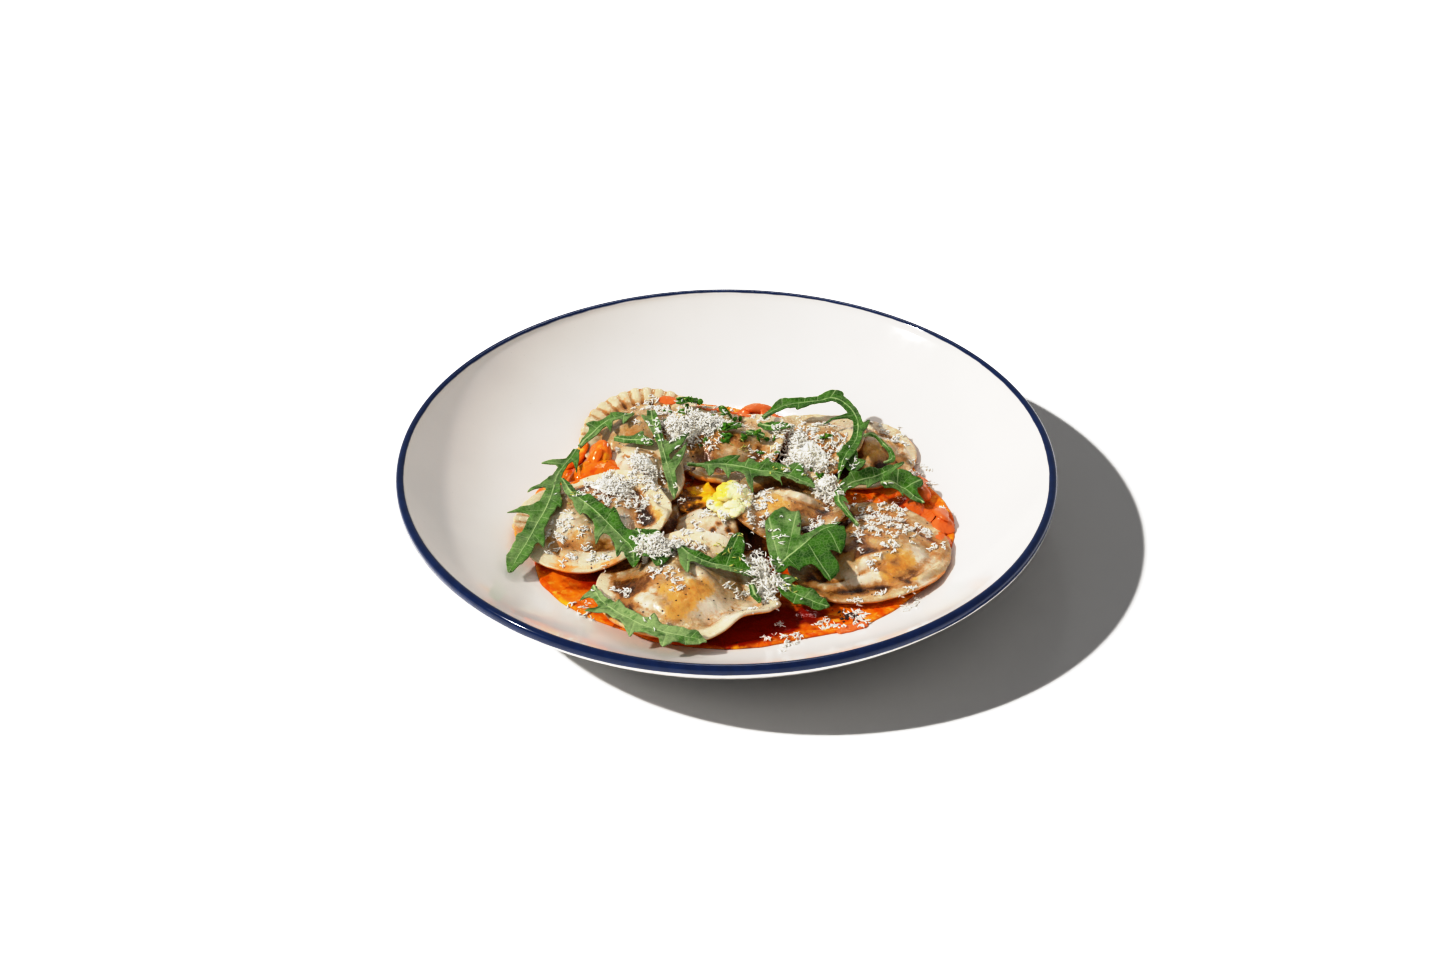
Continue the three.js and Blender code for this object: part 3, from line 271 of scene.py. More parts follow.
AMBER = [
    (-8, 12, 5, 1), (-12, 13, 4, 0.8), (-5, 4, 4.5, 1), (-3, -2, 3, 0.9), (-15, -67, 5, 0.7),
    (-11, -61, 4.5, 0.7), (-19, -72, 4, 0.6), (-8.5, -58, 3.5, 0.6), (-21, -60, 5, 0.7),
    (-30, -56, 3, 0.8), (-33, -55, 2, 0.8), (-22, -23, 3, 0.4), (-26, -17, 3, 0.45), (-30, -14, 3, 0.7),
    (-28, -19, 2.5, 0.6), (-56, -27, 5, 0.45), (57, 28, 5, 0.75), (68.5, 37.5, 2.5, 0.9),
    (65, 35, 2, 0.7), (60, -30, 4, 0.35), (47, -8, 4, 0.35), (18, -11, 5, 0.6), (36, 29, 6, 0.5),
    (60, -46, 4, 0.8), (65, -45, 4.5, 0.9), (67, -50, 3.5, 0.8), (61, -50.5, 4.5, 0.85),
    (35, -6, 3.5, 0.5), (18, -14, 3.5, 0.5), (-62, -29, 4, 0.3), (28, -14, 4, 0.4), (66, -38, 4, 0.4),
    (24, -17, 5, 0.4), (-50, 14, 3, 0.3),
]
MILKY = [
    (-28, -61, 3.5, 0.9), (-11, -54, 4, 0.7), (-8, -68, 5, 0.7), (-29, -67, 3.5, 0.8), (-5, -65, 4, 0.8),
    (5, -67, 6, 0.95), (-26, -47, 3.5, 0.7), (-41, -31, 5, 0.7), (-60, -22, 6, 0.8), (-33, 15, 6, 0.6),
    (-45, -35, 6, 0.6), (-36, -6, 4, 0.6), (54, -45, 4, 0.8), (50, -50, 5, 0.8), (43, -53, 3.5, 0.8),
    (73, -39, 4, 0.7), (66, -39, 3.5, 0.7), (71, -43, 3.5, 0.8), (75, -55, 4, 0.8), (73, -59, 3.5, 0.7),
    (46, 38, 5, 0.6), (28, -7, 5, 0.8), (18, -21, 3.5, 0.6), (-4, -27, 5, 0.8), (-14, -25, 3.5, 0.7),
    (3, -30, 4, 0.7), (62, 50, 5, 0.6), (26, 16, 4, 0.6), (-10, -13, 5, 0.9), (-16, -9, 3, 0.7),
    (-2, -21, 4, 0.7), (-39, -18, 4.5, 0.9), (-61, -17, 4, 0.8), (-52, -34, 4, 0.6), (59, 39, 5, 0.9),
    (64.5, 40, 4, 0.8), (72, 40, 3, 0.7), (72, 33, 3, 0.5), (-44, 22, 3.5, 0.9), (-39, 16, 3.5, 0.9),
    (-34, 10.5, 3.5, 0.8), (-38, 25, 3, 0.6), (1, -73, 7, 0.7),
]
TOMATO_STAIN = [
    (-77, -20, 6, 0.7), (-72, -28, 5, 0.5), (-49, 60, 3, 0.3), (-41, 66, 3, 0.4), (-60, -38, 5, 0.6),
    (-2, -68, 5, 0.2), (12, -64, 4, 0.5),
]

# route: the midrib from stem to tip. lobes: place along the midrib from 0 to 1, side (1 left, -1
# right), length, half width along the midrib, and lean towards the tip. blade: half widths at even
# steps from stem to tip. tone, left and right: -1 deepest green to 1 pale, which paints light and
# shade on each half together with the leaf's own green. edges: instead of blade and lobes, points of
# the outline for each side: place along the midrib, distance from it and distance ahead. veins:
# where side veins leave the midrib.
LEAVES = {
    "leaf_back_left_low": dict(
        route=[(-44, 31.6, 22), (-38.4, 29.6, 22.5), (-33.4, 28, 23), (-28.6, 25.4, 23.4)],
        blade=[2, 2.2, 2.8, 2],
        lobes=[(0.51, 1, 4.6, 1.5, 0.18)],
        tone=(0.3, 0.3),
    ),
    "leaf_upper_left": dict(
        route=[
            (-57.6, 32, 17.4), (-54.4, 39, 17.6), (-50.7, 45.3, 18), (-47.1, 48.3, 19),
            (-42.7, 48.6, 20.5), (-36.9, 50.4, 22),
        ],
        blade=[1.4, 2.6, 2.6, 2.4, 1.8],
        lobes=[
            (0.46, 1, 3.4, 1.8, 0), (0.75, 1, 2.4, 1.7, -0.6), (0.6, -1, 5.4, 1.4, -0.3),
            (0.86, -1, 3.6, 1.3, -0.3),
        ],
        tone=(0.3, 0.6),
    ),
    "leaf_left_long": dict(
        route=[
            (-58.6, 28.6, 17), (-61.9, 22.6, 17), (-65.3, 13.3, 17.5), (-66.4, -1.6, 19.5),
            (-68.2, -12.6, 19.8), (-71.2, -20.8, 19), (-74, -29.8, 18), (-76.9, -37.4, 17),
            (-79.9, -47.8, 16.5),
        ],
        blade=[1.6, 1.8, 2.6, 4, 4.6, 4.4, 4.8, 3.6],
        lobes=[
            (0.11, -1, 7.7, 1.5, 0.38), (0.29, -1, 7.6, 2.6, 1), (0.55, -1, 9, 2.3, 0.48),
            (0.75, -1, 1.4, 1.9, 0.2), (0.05, 1, 6.5, 2.2, 1.1), (0.46, 1, 2.4, 2.6, 1),
            (0.71, 1, 3.8, 2.3, 1),
        ],
        tone=(0.25, 0.5),
    ),
    "leaf_left_broad": dict(
        route=[
            (-63.3, 4.6, 18.5), (-58.8, -6.3, 22), (-53.6, -12.7, 22.8), (-48.5, -18.8, 22.6),
            (-43.5, -25.4, 21.5), (-38.6, -32.4, 20.8), (-34.6, -39.6, 19.5), (-33.9, -47, 18.6),
        ],
        blade=[1.2, 2.4, 4.8, 5.4, 5, 4.6, 3.4],
        lobes=[
            (0.34, -1, 2.4, 2.2, 0.8), (0.58, -1, 6.4, 2.4, 0.7), (0.78, -1, 3.4, 2.3, 0.8),
            (0.55, 1, 2.2, 2.3, -0.5), (0.76, 1, 7.2, 2.8, 0.66),
        ],
        tone=(0.1, 0.65),
    ),
    "leaf_left_under": dict(
        route=[
            (-34.6, -30.5, 21.5), (-30.4, -33.4, 21.6), (-26.6, -37.1, 21), (-24.4, -43.6, 21.2),
            (-25.4, -49.6, 21),
        ],
        blade=[1.6, 3.6, 4, 3.8, 2.4],
        lobes=[(0.25, 1, 3, 2.4, 0.2), (0.62, 1, 2, 2.4, 0.2), (0.66, -1, 3.4, 2.6, 0.2)],
        tone=(-0.3, 0.1),
    ),
    "leaf_upright": dict(
        route=[
            (-30, 50.2, 22.6), (-28.3, 37.6, 23.2), (-25.9, 26.9, 23.6), (-24, 19.2, 22),
            (-22.1, 11.5, 20.5), (-20.5, 2, 19.5), (-19.7, -7.6, 19.6),
        ],
        blade=[2, 3, 2.2, 1.8, 2.6, 2.2, 0.9],
        lobes=[(0.47, 1, 12, 1.9, -0.56), (0.63, 1, 8, 1.4, -1), (0.12, -1, 2, 2, -0.6)],
        tone=(0.6, 0.8),
    ),
    "leaf_centre": dict(
        route=[
            (-15.1, 15.3, 20.8), (-8.4, 15.8, 20.5), (-0.6, 15.9, 20.4), (7.2, 13.5, 20.8),
            (13, 11, 20.8), (19.4, 10.1, 20.2), (25.7, 7.6, 19.8), (31.2, 2.8, 19.8), (33.9, -0.5, 20),
        ],
        blade=[0.8, 1.6, 3.6, 4.4, 4.8, 5, 4.6, 3.6, 2.4],
        lobes=[
            (0.15, -1, 6.6, 1.4, 0), (0.28, -1, 6.4, 1.8, 0.28), (0.46, -1, 12, 1.9, 0.55),
            (0.64, -1, 7.6, 2.2, 0.42), (0.27, 1, 4.6, 1.9, 0.6), (0.42, 1, 3, 1.5, -0.1),
            (0.53, 1, 3.2, 2, 0.3), (0.75, 1, 4.6, 2.1, 0.17),
        ],
        tone=(0.25, 0.6),
    ),
    "leaf_back_low": dict(
        route=[(12.8, 40.1, 22.4), (19.9, 35.6, 24), (27, 35.4, 24.6)],
        blade=[1.4, 2.8, 2.4, 1],
        lobes=[],
        tone=(0.1, 0.3),
    ),
    "leaf_tuft": dict(
        route=[(43.4, 18.6, 24), (46.6, 14.6, 23.6), (49.6, 8.6, 22)],
        blade=[1, 3, 3.2, 2],
        lobes=[(0.3, 1, 4, 2, -0.2), (0.72, 1, 4, 2, 0)],
        tone=(0.3, 0.0),
    ),
    "leaf_arch": dict(
        route=[
            (15, 41.1, 22.6), (18.7, 47.7, 23.4), (23.1, 51.3, 24), (30.4, 53.1, 24.6), (37.5, 54, 24.8),
            (42.6, 55.4, 25.4), (48.4, 49.4, 25.8), (51.8, 39.4, 25.8), (51.6, 30, 25.4),
            (49.2, 21.6, 24.6), (45.6, 13.4, 23.2), (43, 4, 20.8),
        ],
        blade=[1.4, 2.6, 3.2, 3.4, 3.2, 3, 2.6, 2.2, 2.2, 2.8, 3.2, 2, 0.8],
        lobes=[
            (0.14, 1, 1.6, 2.4, 0.6), (0.36, 1, 1.6, 2.8, 0.8), (0.22, -1, 2.4, 2.6, -0.3),
            (0.55, -1, 12, 1.5, 0.18), (0.64, 1, 2.6, 1.9, -0.9),
        ],
        tone=(0.15, -0.45),
    ),
    "leaf_right_narrow": dict(
        route=[
            (49.3, -25.5, 22), (44.9, -17.1, 22.2), (42.6, -8.1, 21.6), (44.3, -1.3, 20.6),
            (48.7, 3, 19.8), (55.9, 7.8, 19.2), (61.8, 12.4, 19.4), (69.1, 17.6, 20.5),
        ],
        blade=[0.6, 1.4, 1.8, 2.2, 2.6, 3, 2.6, 1.4],
        lobes=[
            (0.34, -1, 2.2, 1.4, -1), (0.58, 1, 1.2, 1.6, 0), (0.7, -1, 1.8, 2.6, -0.9),
            (0.82, -1, 1.8, 2.2, -0.8),
        ],
        tone=(0.2, 0.4),
    ),
    "leaf_right": dict(
        route=[(59.4, 2.6, 17), (64, 4.6, 17.4), (68.4, 4.6, 17), (71.6, 1.6, 16.4), (75.9, -2.8, 14.4)],
        blade=[2.4, 3, 3, 2.6, 1.2],
        lobes=[(0.33, 1, 6, 1.5, 0.15), (0.47, 1, 4.8, 2.2, 0.6), (0.4, -1, 2.6, 1.9, 0.27)],
        tone=(0.1, 0.4),
    ),
    "leaf_curl": dict(
        route=[
            (53.9, 27.3, 24.6), (58.3, 29.4, 24), (61.8, 26.8, 22.8), (64.5, 22.4, 21),
            (64.4, 18.6, 20.4), (61.4, 16, 20.8),
        ],
        blade=[0.5, 0.9, 1.1, 1.2, 1.6, 0.8],
        lobes=[],
        tone=(0.25, 0.25),
    ),
    "leaf_front_low": dict(
        route=[
            (18.6, -50.4, 18), (19.6, -54, 17.6), (22, -58, 17), (26, -61.4, 16.8), (31, -64, 16.2),
            (37.1, -66.5, 15.6),
        ],
        blade=[2.6, 3.2, 4.6, 4.6, 4.2, 2.2],
        lobes=[(0.1, 1, 5.4, 2.2, 0.3), (0.62, 1, 1.6, 2, 0.2), (0.5, -1, 1.6, 2.6, 0.4)],
        tone=(0.4, 0.1),
    ),
    "leaf_front_centre": dict(
        route=[
            (-19.2, -37.4, 20.8), (-13.4, -44.3, 22.2), (-6.7, -48.4, 21.6), (0, -49.3, 20.6),
            (6.6, -50.6, 19.5), (12, -52, 18.4),
        ],
        blade=[1.4, 3, 3.4, 4, 4.2, 3],
        lobes=[(0.65, 1, 15.5, 3, 0.14), (0.22, -1, 5.6, 2, 1)],
        tone=(0.0, 0.55),
    ),
    "leaf_front_broad": dict(
        route=[
            (18.3, -49, 18.4), (21.8, -43.4, 19.4), (27.3, -37.6, 20.6), (31.5, -33.2, 21.6),
            (36.3, -28.8, 22.4), (41.4, -26.6, 22.8),
        ],
        edges={
            1: [
                (0, 4, 3), (0.03, 10, 9.3), (0.07, 16, 17.5), (0.11, 16, 21.7), (0.15, 15.9, 26),
                (0.18, 12.9, 23.2), (0.22, 12.8, 24.2), (0.25, 9.1, 18.2), (0.3, 4.4, 9.5), (0.4, 3, 7.8),
                (0.5, 2.2, 7.2), (0.65, 1.6, 6.6), (0.85, 1.4, 3.8), (1, 0.6, 1.6),
            ],
            -1: [
                (0, 2.4, -1.3), (0.12, 3.5, -0.4), (0.2, 7, -2.6), (0.25, 8.6, -3.6), (0.3, 8.3, -2.4),
                (0.38, 9.8, -2.2), (0.42, 13, -3.6), (0.45, 15.8, -6.6), (0.5, 19.6, -10.4),
                (0.55, 21.6, -11.8), (0.6, 22, -9.4), (0.64, 21, -7.4), (0.68, 17.2, -5.6),
                (0.72, 12.8, -5.2), (0.77, 10.4, -5.8), (0.83, 13.2, -4.4), (0.88, 15.6, -2),
                (0.92, 12.6, 0.4), (0.96, 8.3, 1.6), (1, 3.2, 1.6),
            ],
        },
        veins={1: [0.09, 0.21], -1: [0.24, 0.56, 0.87]},
        tone=(0.55, -0.35),
    ),
    "leaf_front": dict(
        route=[
            (-48.5, -54.8, 16), (-45.5, -64.6, 17), (-39.9, -72.7, 18.4), (-33.8, -79.1, 19.4),
            (-27.8, -84, 20), (-22, -86.8, 19.8), (-15.5, -88.3, 18.6), (-7.2, -89.7, 16.4),
        ],
        blade=[1.2, 2.4, 4, 4.2, 4.2, 4.6, 4.4, 3],
        lobes=[
            (0.07, -1, 5.6, 1.7, 0.65), (0.27, -1, 6, 1.5, -0.2), (0.52, -1, 3.8, 2.1, 0.6),
            (0.75, -1, 4.6, 1.9, 0.16), (0.32, 1, 2.3, 2, -0.7), (0.6, 1, 3.8, 1.9, -0.16),
            (0.9, 1, 0.9, 2, 0.5),
        ],
        tone=(1.9, 1.3),
    ),
}
# Where grated cheese was sprinkled over the plate: x, y, spread and number of shreds, both before
# they are scaled.
SPRINKLED = [
    (-30, 64, 5, 60), (-22, 56, 6, 90), (-21, 22, 4, 30), (-28, 6, 5, 70), (-33, -7, 4, 40),
    (-61, -22, 6, 90), (-55, -35, 6, 40), (-44, -37, 4, 20), (-60, -5, 4, 20), (-15, -27, 5, 30),
    (-8, -17, 4, 25), (-1, -20, 3, 20), (-20, -34, 4, 40), (-25, -50, 3, 15), (-20, -55, 5, 40),
    (-8, -50, 3, 15), (2, -47, 3, 10), (6, -53, 4, 40), (-37, -58, 3, 20), (-50, -61, 3.5, 25),
    (-29, -84, 3, 12), (10, -74, 2, 8), (8, -4, 3, 25), (17, 52, 3, 15), (33, 36, 8, 120),
    (43, 30, 4, 40), (22, 23, 5, 80), (14, 23, 3, 20), (35, 5, 4, 50), (13, -8, 5, 60), (12, -21, 4, 50),
    (36, -24, 4, 40), (47, 5, 4, 40), (60, 0, 3, 20), (66, -4, 3, 20), (72, 22, 4, 30), (59, 20, 2.5, 12),
    (46, -28, 5, 40), (63, -27, 6, 60), (60, -38, 3, 20), (78, -31, 3, 12), (77, -20, 3, 10),
    (77, 16, 3, 10), (52, -44, 2.5, 10), (46, -65, 3, 40), (55, -58, 2.5, 8), (68, -59, 3, 15),
    (66, -63, 3, 20), (48, -73, 3, 20), (37, -74, 3, 12), (34, -70, 3, 12), (26, -79, 3, 20),
    (21, -86, 3, 12), (14, -46, 5, 60), (18, -54, 5, 60), (-24, 61, 3.5, 40), (-28, 50, 4, 30),
    (-21, 30, 4, 40), (-46, -6, 7, 50), (62, -9, 8, 70), (52, -6, 7, 45), (70, -17, 5, 35),
    (57, -19, 6, 40), (30, 20, 6, 50), (40, 20, 6, 50), (-48, -10, 6, 40), (-36, -12, 5, 40),
    (-38, 4, 6, 50), (-4, 40, 9, 60), (27, -23, 2.5, 12), (69, 42, 4, 30), (63, 50, 4, 20),
    (0, 45, 12, 60), (40, -10, 18, 60),
]
# Drifts: middle, half length, half width and turn in degrees of each heap, a count that sets how many
# tufts of shreds it gets, and how much of the height of its solid it fills.
DRIFTS = {
    "cheese_back_left": ((-14, 41), 13, 8.5, 25, 560, 1),
    "cheese_left_middle": ((-30, 13), 9.5, 4.4, -66, 120, 0.35),
    "cheese_left": ((-44.5, 0.5), 11, 6.5, -20, 150, 0.6),
    "cheese_front": ((14, -50), 10, 4.2, 102, 300, 1),
    "cheese_back_right": ((31.5, 25), 13, 9, -40, 320, 0.7),
    "cheese_right": ((38, 4), 7.5, 3.8, -75, 120, 0.8),
    "cheese_front_left": ((-26.5, -38.5), 8.5, 5, 0, 260, 1),
}
# Zest, dark crumbs and chopped herb: x, y, spread and number of bits.
ZEST = [
    (0, -35, 5, 12), (4, -46, 5, 12), (24, -56, 4, 14), (8, 31, 5, 16), (22, 14, 5, 10), (36, 8, 4, 10),
    (-58, -8, 4, 6), (-14, 52, 6, 10),
]
CRUMBS = [(12, -31, 3, 22), (30, -26, 2.5, 14), (46, -67, 3.5, 26), (-30, 31, 1.5, 5), (-14, 15, 2, 6)]
CHOPPED_HERB = [
    (0, 36, 6, 22), (-16, 54, 7, 20), (14, 31, 6, 14), (33, 10, 4, 8), (40, 33, 3, 4), (-2, 52, 5, 12),
]
# How light from the scene is shown: scene light, and the share of full white that it becomes.
TONE_CURVE = [
    (0, 0), (0.03, 0.01), (0.06, 0.026), (0.12, 0.064), (0.2, 0.124), (0.33, 0.247), (0.5, 0.45),
    (0.8, 0.8), (1.05, 0.92), (1.35, 1),
]


# ---------------------------------------------------------------- numbers
def smooth(value):
    t = np.clip(value, 0, 1)
    return t * t * (3 - 2 * t)


def hashed(i, j, k, seed):
    """A repeatable number from -1 to 1 for each whole-number place."""
    h = (i * 374761393 + j * 668265263 + k * 1442695041 + seed * 974634777) & 0xFFFFFFFF
    h = ((h ^ (h >> 13)) * 1274126177) & 0xFFFFFFFF
    return ((h ^ (h >> 16)) & 0xFFFF) / 32767.5 - 1


def lumps(x, y, size, seed=0, z=0.0):
    """Smooth noise from -1 to 1 whose lumps are about size across."""
    place = [np.asarray(axis, float) / size for axis in np.broadcast_arrays(x, y, z)]
    whole = [np.floor(axis).astype(np.int64) for axis in place]
    part = [smooth(axis - low) for axis, low in zip(place, whole)]
    total = 0.0
    for corner in range(8):
        bits = [(corner >> axis) & 1 for axis in range(3)]
        weight = 1.0
        for share, bit in zip(part, bits):
            weight = weight * (share if bit else 1 - share)
        total = total + weight * hashed(*(low + bit for low, bit in zip(whole, bits)), seed)
    return total


def crags(x, y, size, octaves, seed=0, z=0.0):
    """Noise with ever smaller lumps on its lumps."""
    total, weight = 0.0, 1.0
    for octave in range(octaves):
        total = total + weight * lumps(x, y, size / 2**octave, seed + octave, z)
        weight *= 0.5
    return total / (2 - 2 * weight)


def ring_crags(direction, radius, size, octaves, seed):
    """Crags along a ring, which meet where it closes."""
    return crags(radius * np.cos(direction), radius * np.sin(direction), size, octaves, seed)


def spots(x, y, places, seed=0):
    """How strongly any of some ragged round spots colours each point, from 0 to 1."""
    bare = np.ones_like(x)
    ragged = 1 + 0.45 * crags(x, y, 3.2, 3, seed)
    for px, py, reach, strength in places:
        away = np.hypot(x - px, y - py) * ragged / reach
        bare *= 1 - strength * np.exp(-(away**2) * 0.9)
    return 1 - bare


def around(middle, distance, direction):
    """The place at a distance and direction from a middle."""
    return middle[0] + distance * np.cos(direction), middle[1] + distance * np.sin(direction)


def seen_from(middle, x, y):
    """Distance and direction of each place from a middle."""
    return np.hypot(x - middle[0], y - middle[1]), np.arctan2(y - middle[1], x - middle[0])


def swung(middle, along, across, degrees):
    """The place that is so far along a direction from a middle, and so far across it."""
    c, s = math.cos(math.radians(degrees)), math.sin(math.radians(degrees))
    return middle[0] + along * c - across * s, middle[1] + along * s + across * c


def off_course(direction, toward):
    """How many degrees a direction is off another one, from -180 to 180."""
    return (np.degrees(direction) - toward + 180) % 360 - 180


def bowl_height(distance):
    """Height of the bowl's upper face at a distance from its axis."""
    out = np.clip(distance - BASE_RADIUS, 0, LIP_RADIUS - BASE_RADIUS)
    return BASE_TOP + ARC_RADIUS - np.sqrt(ARC_RADIUS**2 - out**2)


def from_line(x, y, line):
    """Distance from a line of points, and the share of its length that is nearest."""
    nearest, along = np.full_like(x, 1e9), np.zeros_like(x)
    pieces = list(zip(line[:-1], line[1:]))
    for number, ((ax, ay), (bx, by)) in enumerate(pieces):
        length = (bx - ax) ** 2 + (by - ay) ** 2
        t = np.clip(((x - ax) * (bx - ax) + (y - ay) * (by - ay)) / length, 0, 1)
        away = np.hypot(x - ax - t * (bx - ax), y - ay - t * (by - ay))
        along = np.where(away < nearest, (number + t) / len(pieces), along)
        nearest = np.minimum(nearest, away)
    return nearest, along


# ---------------------------------------------------------------- heights on a grid
STEP = 0.5
HALF = 104.0
WIDE_EASE = 5
AXIS = np.arange(-HALF, HALF + STEP / 2, STEP)


def shifted(values, cells, axis):
    """The grid moved by every whole number of cells up to that many either way along an axis."""
    padded = np.pad(values, [(cells, cells) if a == axis else (0, 0) for a in (0, 1)], "edge")
    size = values.shape[axis]
    return [np.take(padded, np.arange(k, k + size), axis) for k in range(2 * cells + 1)]


def blur(values, sigma):
    """A round soft mean, with sigma in millimetres."""
    reach = int(math.ceil(3 * sigma / STEP))
    weights = np.exp(-0.5 * (np.arange(-reach, reach + 1) * STEP / sigma) ** 2)
    weights /= weights.sum()
    for axis in (0, 1):
        values = sum(w * moved for w, moved in zip(weights, shifted(values, reach, axis)))
    return values


def widest(values, reach, pick):
    """The highest or lowest value within reach, in millimetres."""
    for axis in (0, 1):
        values = pick.reduce(shifted(values, int(round(reach / STEP)), axis))
    return values


class Heights:
    """Heights on a square grid, read smoothly between its points."""

    def __init__(self, xs, ys, values):
        self.xs, self.ys, self.values = xs, ys, values

    def at(self, x, y):
        u = np.clip((x - self.xs[0]) / STEP, 0, len(self.xs) - 1.001)
        v = np.clip((y - self.ys[0]) / STEP, 0, len(self.ys) - 1.001)
        i, j = u.astype(int), v.astype(int)
        a, b = u - i, v - j
        h = self.values
        near = h[j, i] * (1 - a) + h[j, i + 1] * a
        far = h[j + 1, i] * (1 - a) + h[j + 1, i + 1] * a
        return near * (1 - b) + far * b


def cast_of(node, ease, trim=0.0):
    """Upper face, lower face and cover of a CAD node seen from above, with its facets eased away.

    trim takes off what is narrower than twice that, such as single shreds of cheese."""
    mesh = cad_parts[node].data
    mesh.calc_loop_triangles()
    points = np.empty(len(mesh.vertices) * 3)
    mesh.vertices.foreach_get("co", points)
    points = points.reshape(-1, 3) / MM
    corners = np.empty(len(mesh.loop_triangles) * 3, np.int32)
    mesh.loop_triangles.foreach_get("vertices", corners)
    margin = WIDE_EASE + 2
    low, high = np.floor(points.min(0)) - margin, np.ceil(points.max(0)) + margin
    xs, ys = np.arange(low[0], high[0], STEP), np.arange(low[1], high[1], STEP)
    top = np.full((len(ys), len(xs)), -1e9)
    under = np.full((len(ys), len(xs)), 1e9)
    for a, b, c in points[corners.reshape(-1, 3)]:
        area = (b[0] - a[0]) * (c[1] - a[1]) - (b[1] - a[1]) * (c[0] - a[0])
        if abs(area) < 1e-9:
            continue
        least, most = np.minimum(np.minimum(a, b), c), np.maximum(np.maximum(a, b), c)
        i0, i1 = np.searchsorted(xs, [least[0], most[0] + 1e-6])
        j0, j1 = np.searchsorted(ys, [least[1], most[1] + 1e-6])
        x, y = xs[None, i0:i1], ys[j0:j1, None]
        u = ((b[0] - x) * (c[1] - y) - (b[1] - y) * (c[0] - x)) / area
        v = ((c[0] - x) * (a[1] - y) - (c[1] - y) * (a[0] - x)) / area
        w = 1 - u - v
        z = u * a[2] + v * b[2] + w * c[2]
        within = (u > -1e-6) & (v > -1e-6) & (w > -1e-6)
        if area > 0:
            part = top[j0:j1, i0:i1]
            part[within] = np.maximum(part, z)[within]
        else:
            part = under[j0:j1, i0:i1]
            part[within] = np.minimum(part, z)[within]
    inside = (top > -1e8) & (under < 1e8)
    if trim:
        shaved = widest(np.where(inside, top, 1e3), trim, np.minimum)
        shaved = widest(np.where(inside, shaved, -1e3), trim, np.maximum)
        top = np.minimum(top, shaved)
    cover = inside.astype(float)

    def eased(face):
        """The face carried on smoothly past its edge, by a wider mean where the near one runs out."""
        near, far = (
            blur(np.where(inside, face, 0), reach) / np.maximum(blur(cover, reach), 1e-9)
            for reach in (ease, WIDE_EASE)
        )
        return Heights(xs, ys, np.where(blur(cover, ease) > 1e-3, near, far))

    return eased(top), eased(under), Heights(xs, ys, cover)


# The plate as it fills up: the highest thing at each place, and whether that is a leaf.
plate = Heights(AXIS, AXIS, bowl_height(np.hypot(*np.meshgrid(AXIS, AXIS))))
leafy = Heights(AXIS, AXIS, np.zeros((len(AXIS), len(AXIS))))


def calm_plate(sigma):
    """The plate's heights as they are now, with what is small eased away."""
    return Heights(AXIS, AXIS, blur(plate.values, sigma))


def raise_plate(obj, is_leaf=False):
    """Notes the upper face of a finished piece in the plate's heights."""
    tree = BVHTree.FromPolygons(
        [v.co for v in obj.data.vertices], [tuple(p.vertices) for p in obj.data.polygons]
    )
    low, high = (np.array(obj.bound_box[corner]) / MM for corner in (0, 6))
    above, down = 0.1, Vector((0, 0, -1))
    i0, i1 = np.searchsorted(AXIS, [low[0], high[0]])
    j0, j1 = np.searchsorted(AXIS, [low[1], high[1]])
    for j in range(j0, j1):
        for i in range(i0, i1):
            hit = tree.ray_cast(Vector((AXIS[i] * MM, AXIS[j] * MM, above)), down)[0]
            if hit is None or hit.z / MM <= plate.values[j, i]:
                continue
            plate.values[j, i] = hit.z / MM
            leafy.values[j, i] = float(is_leaf)


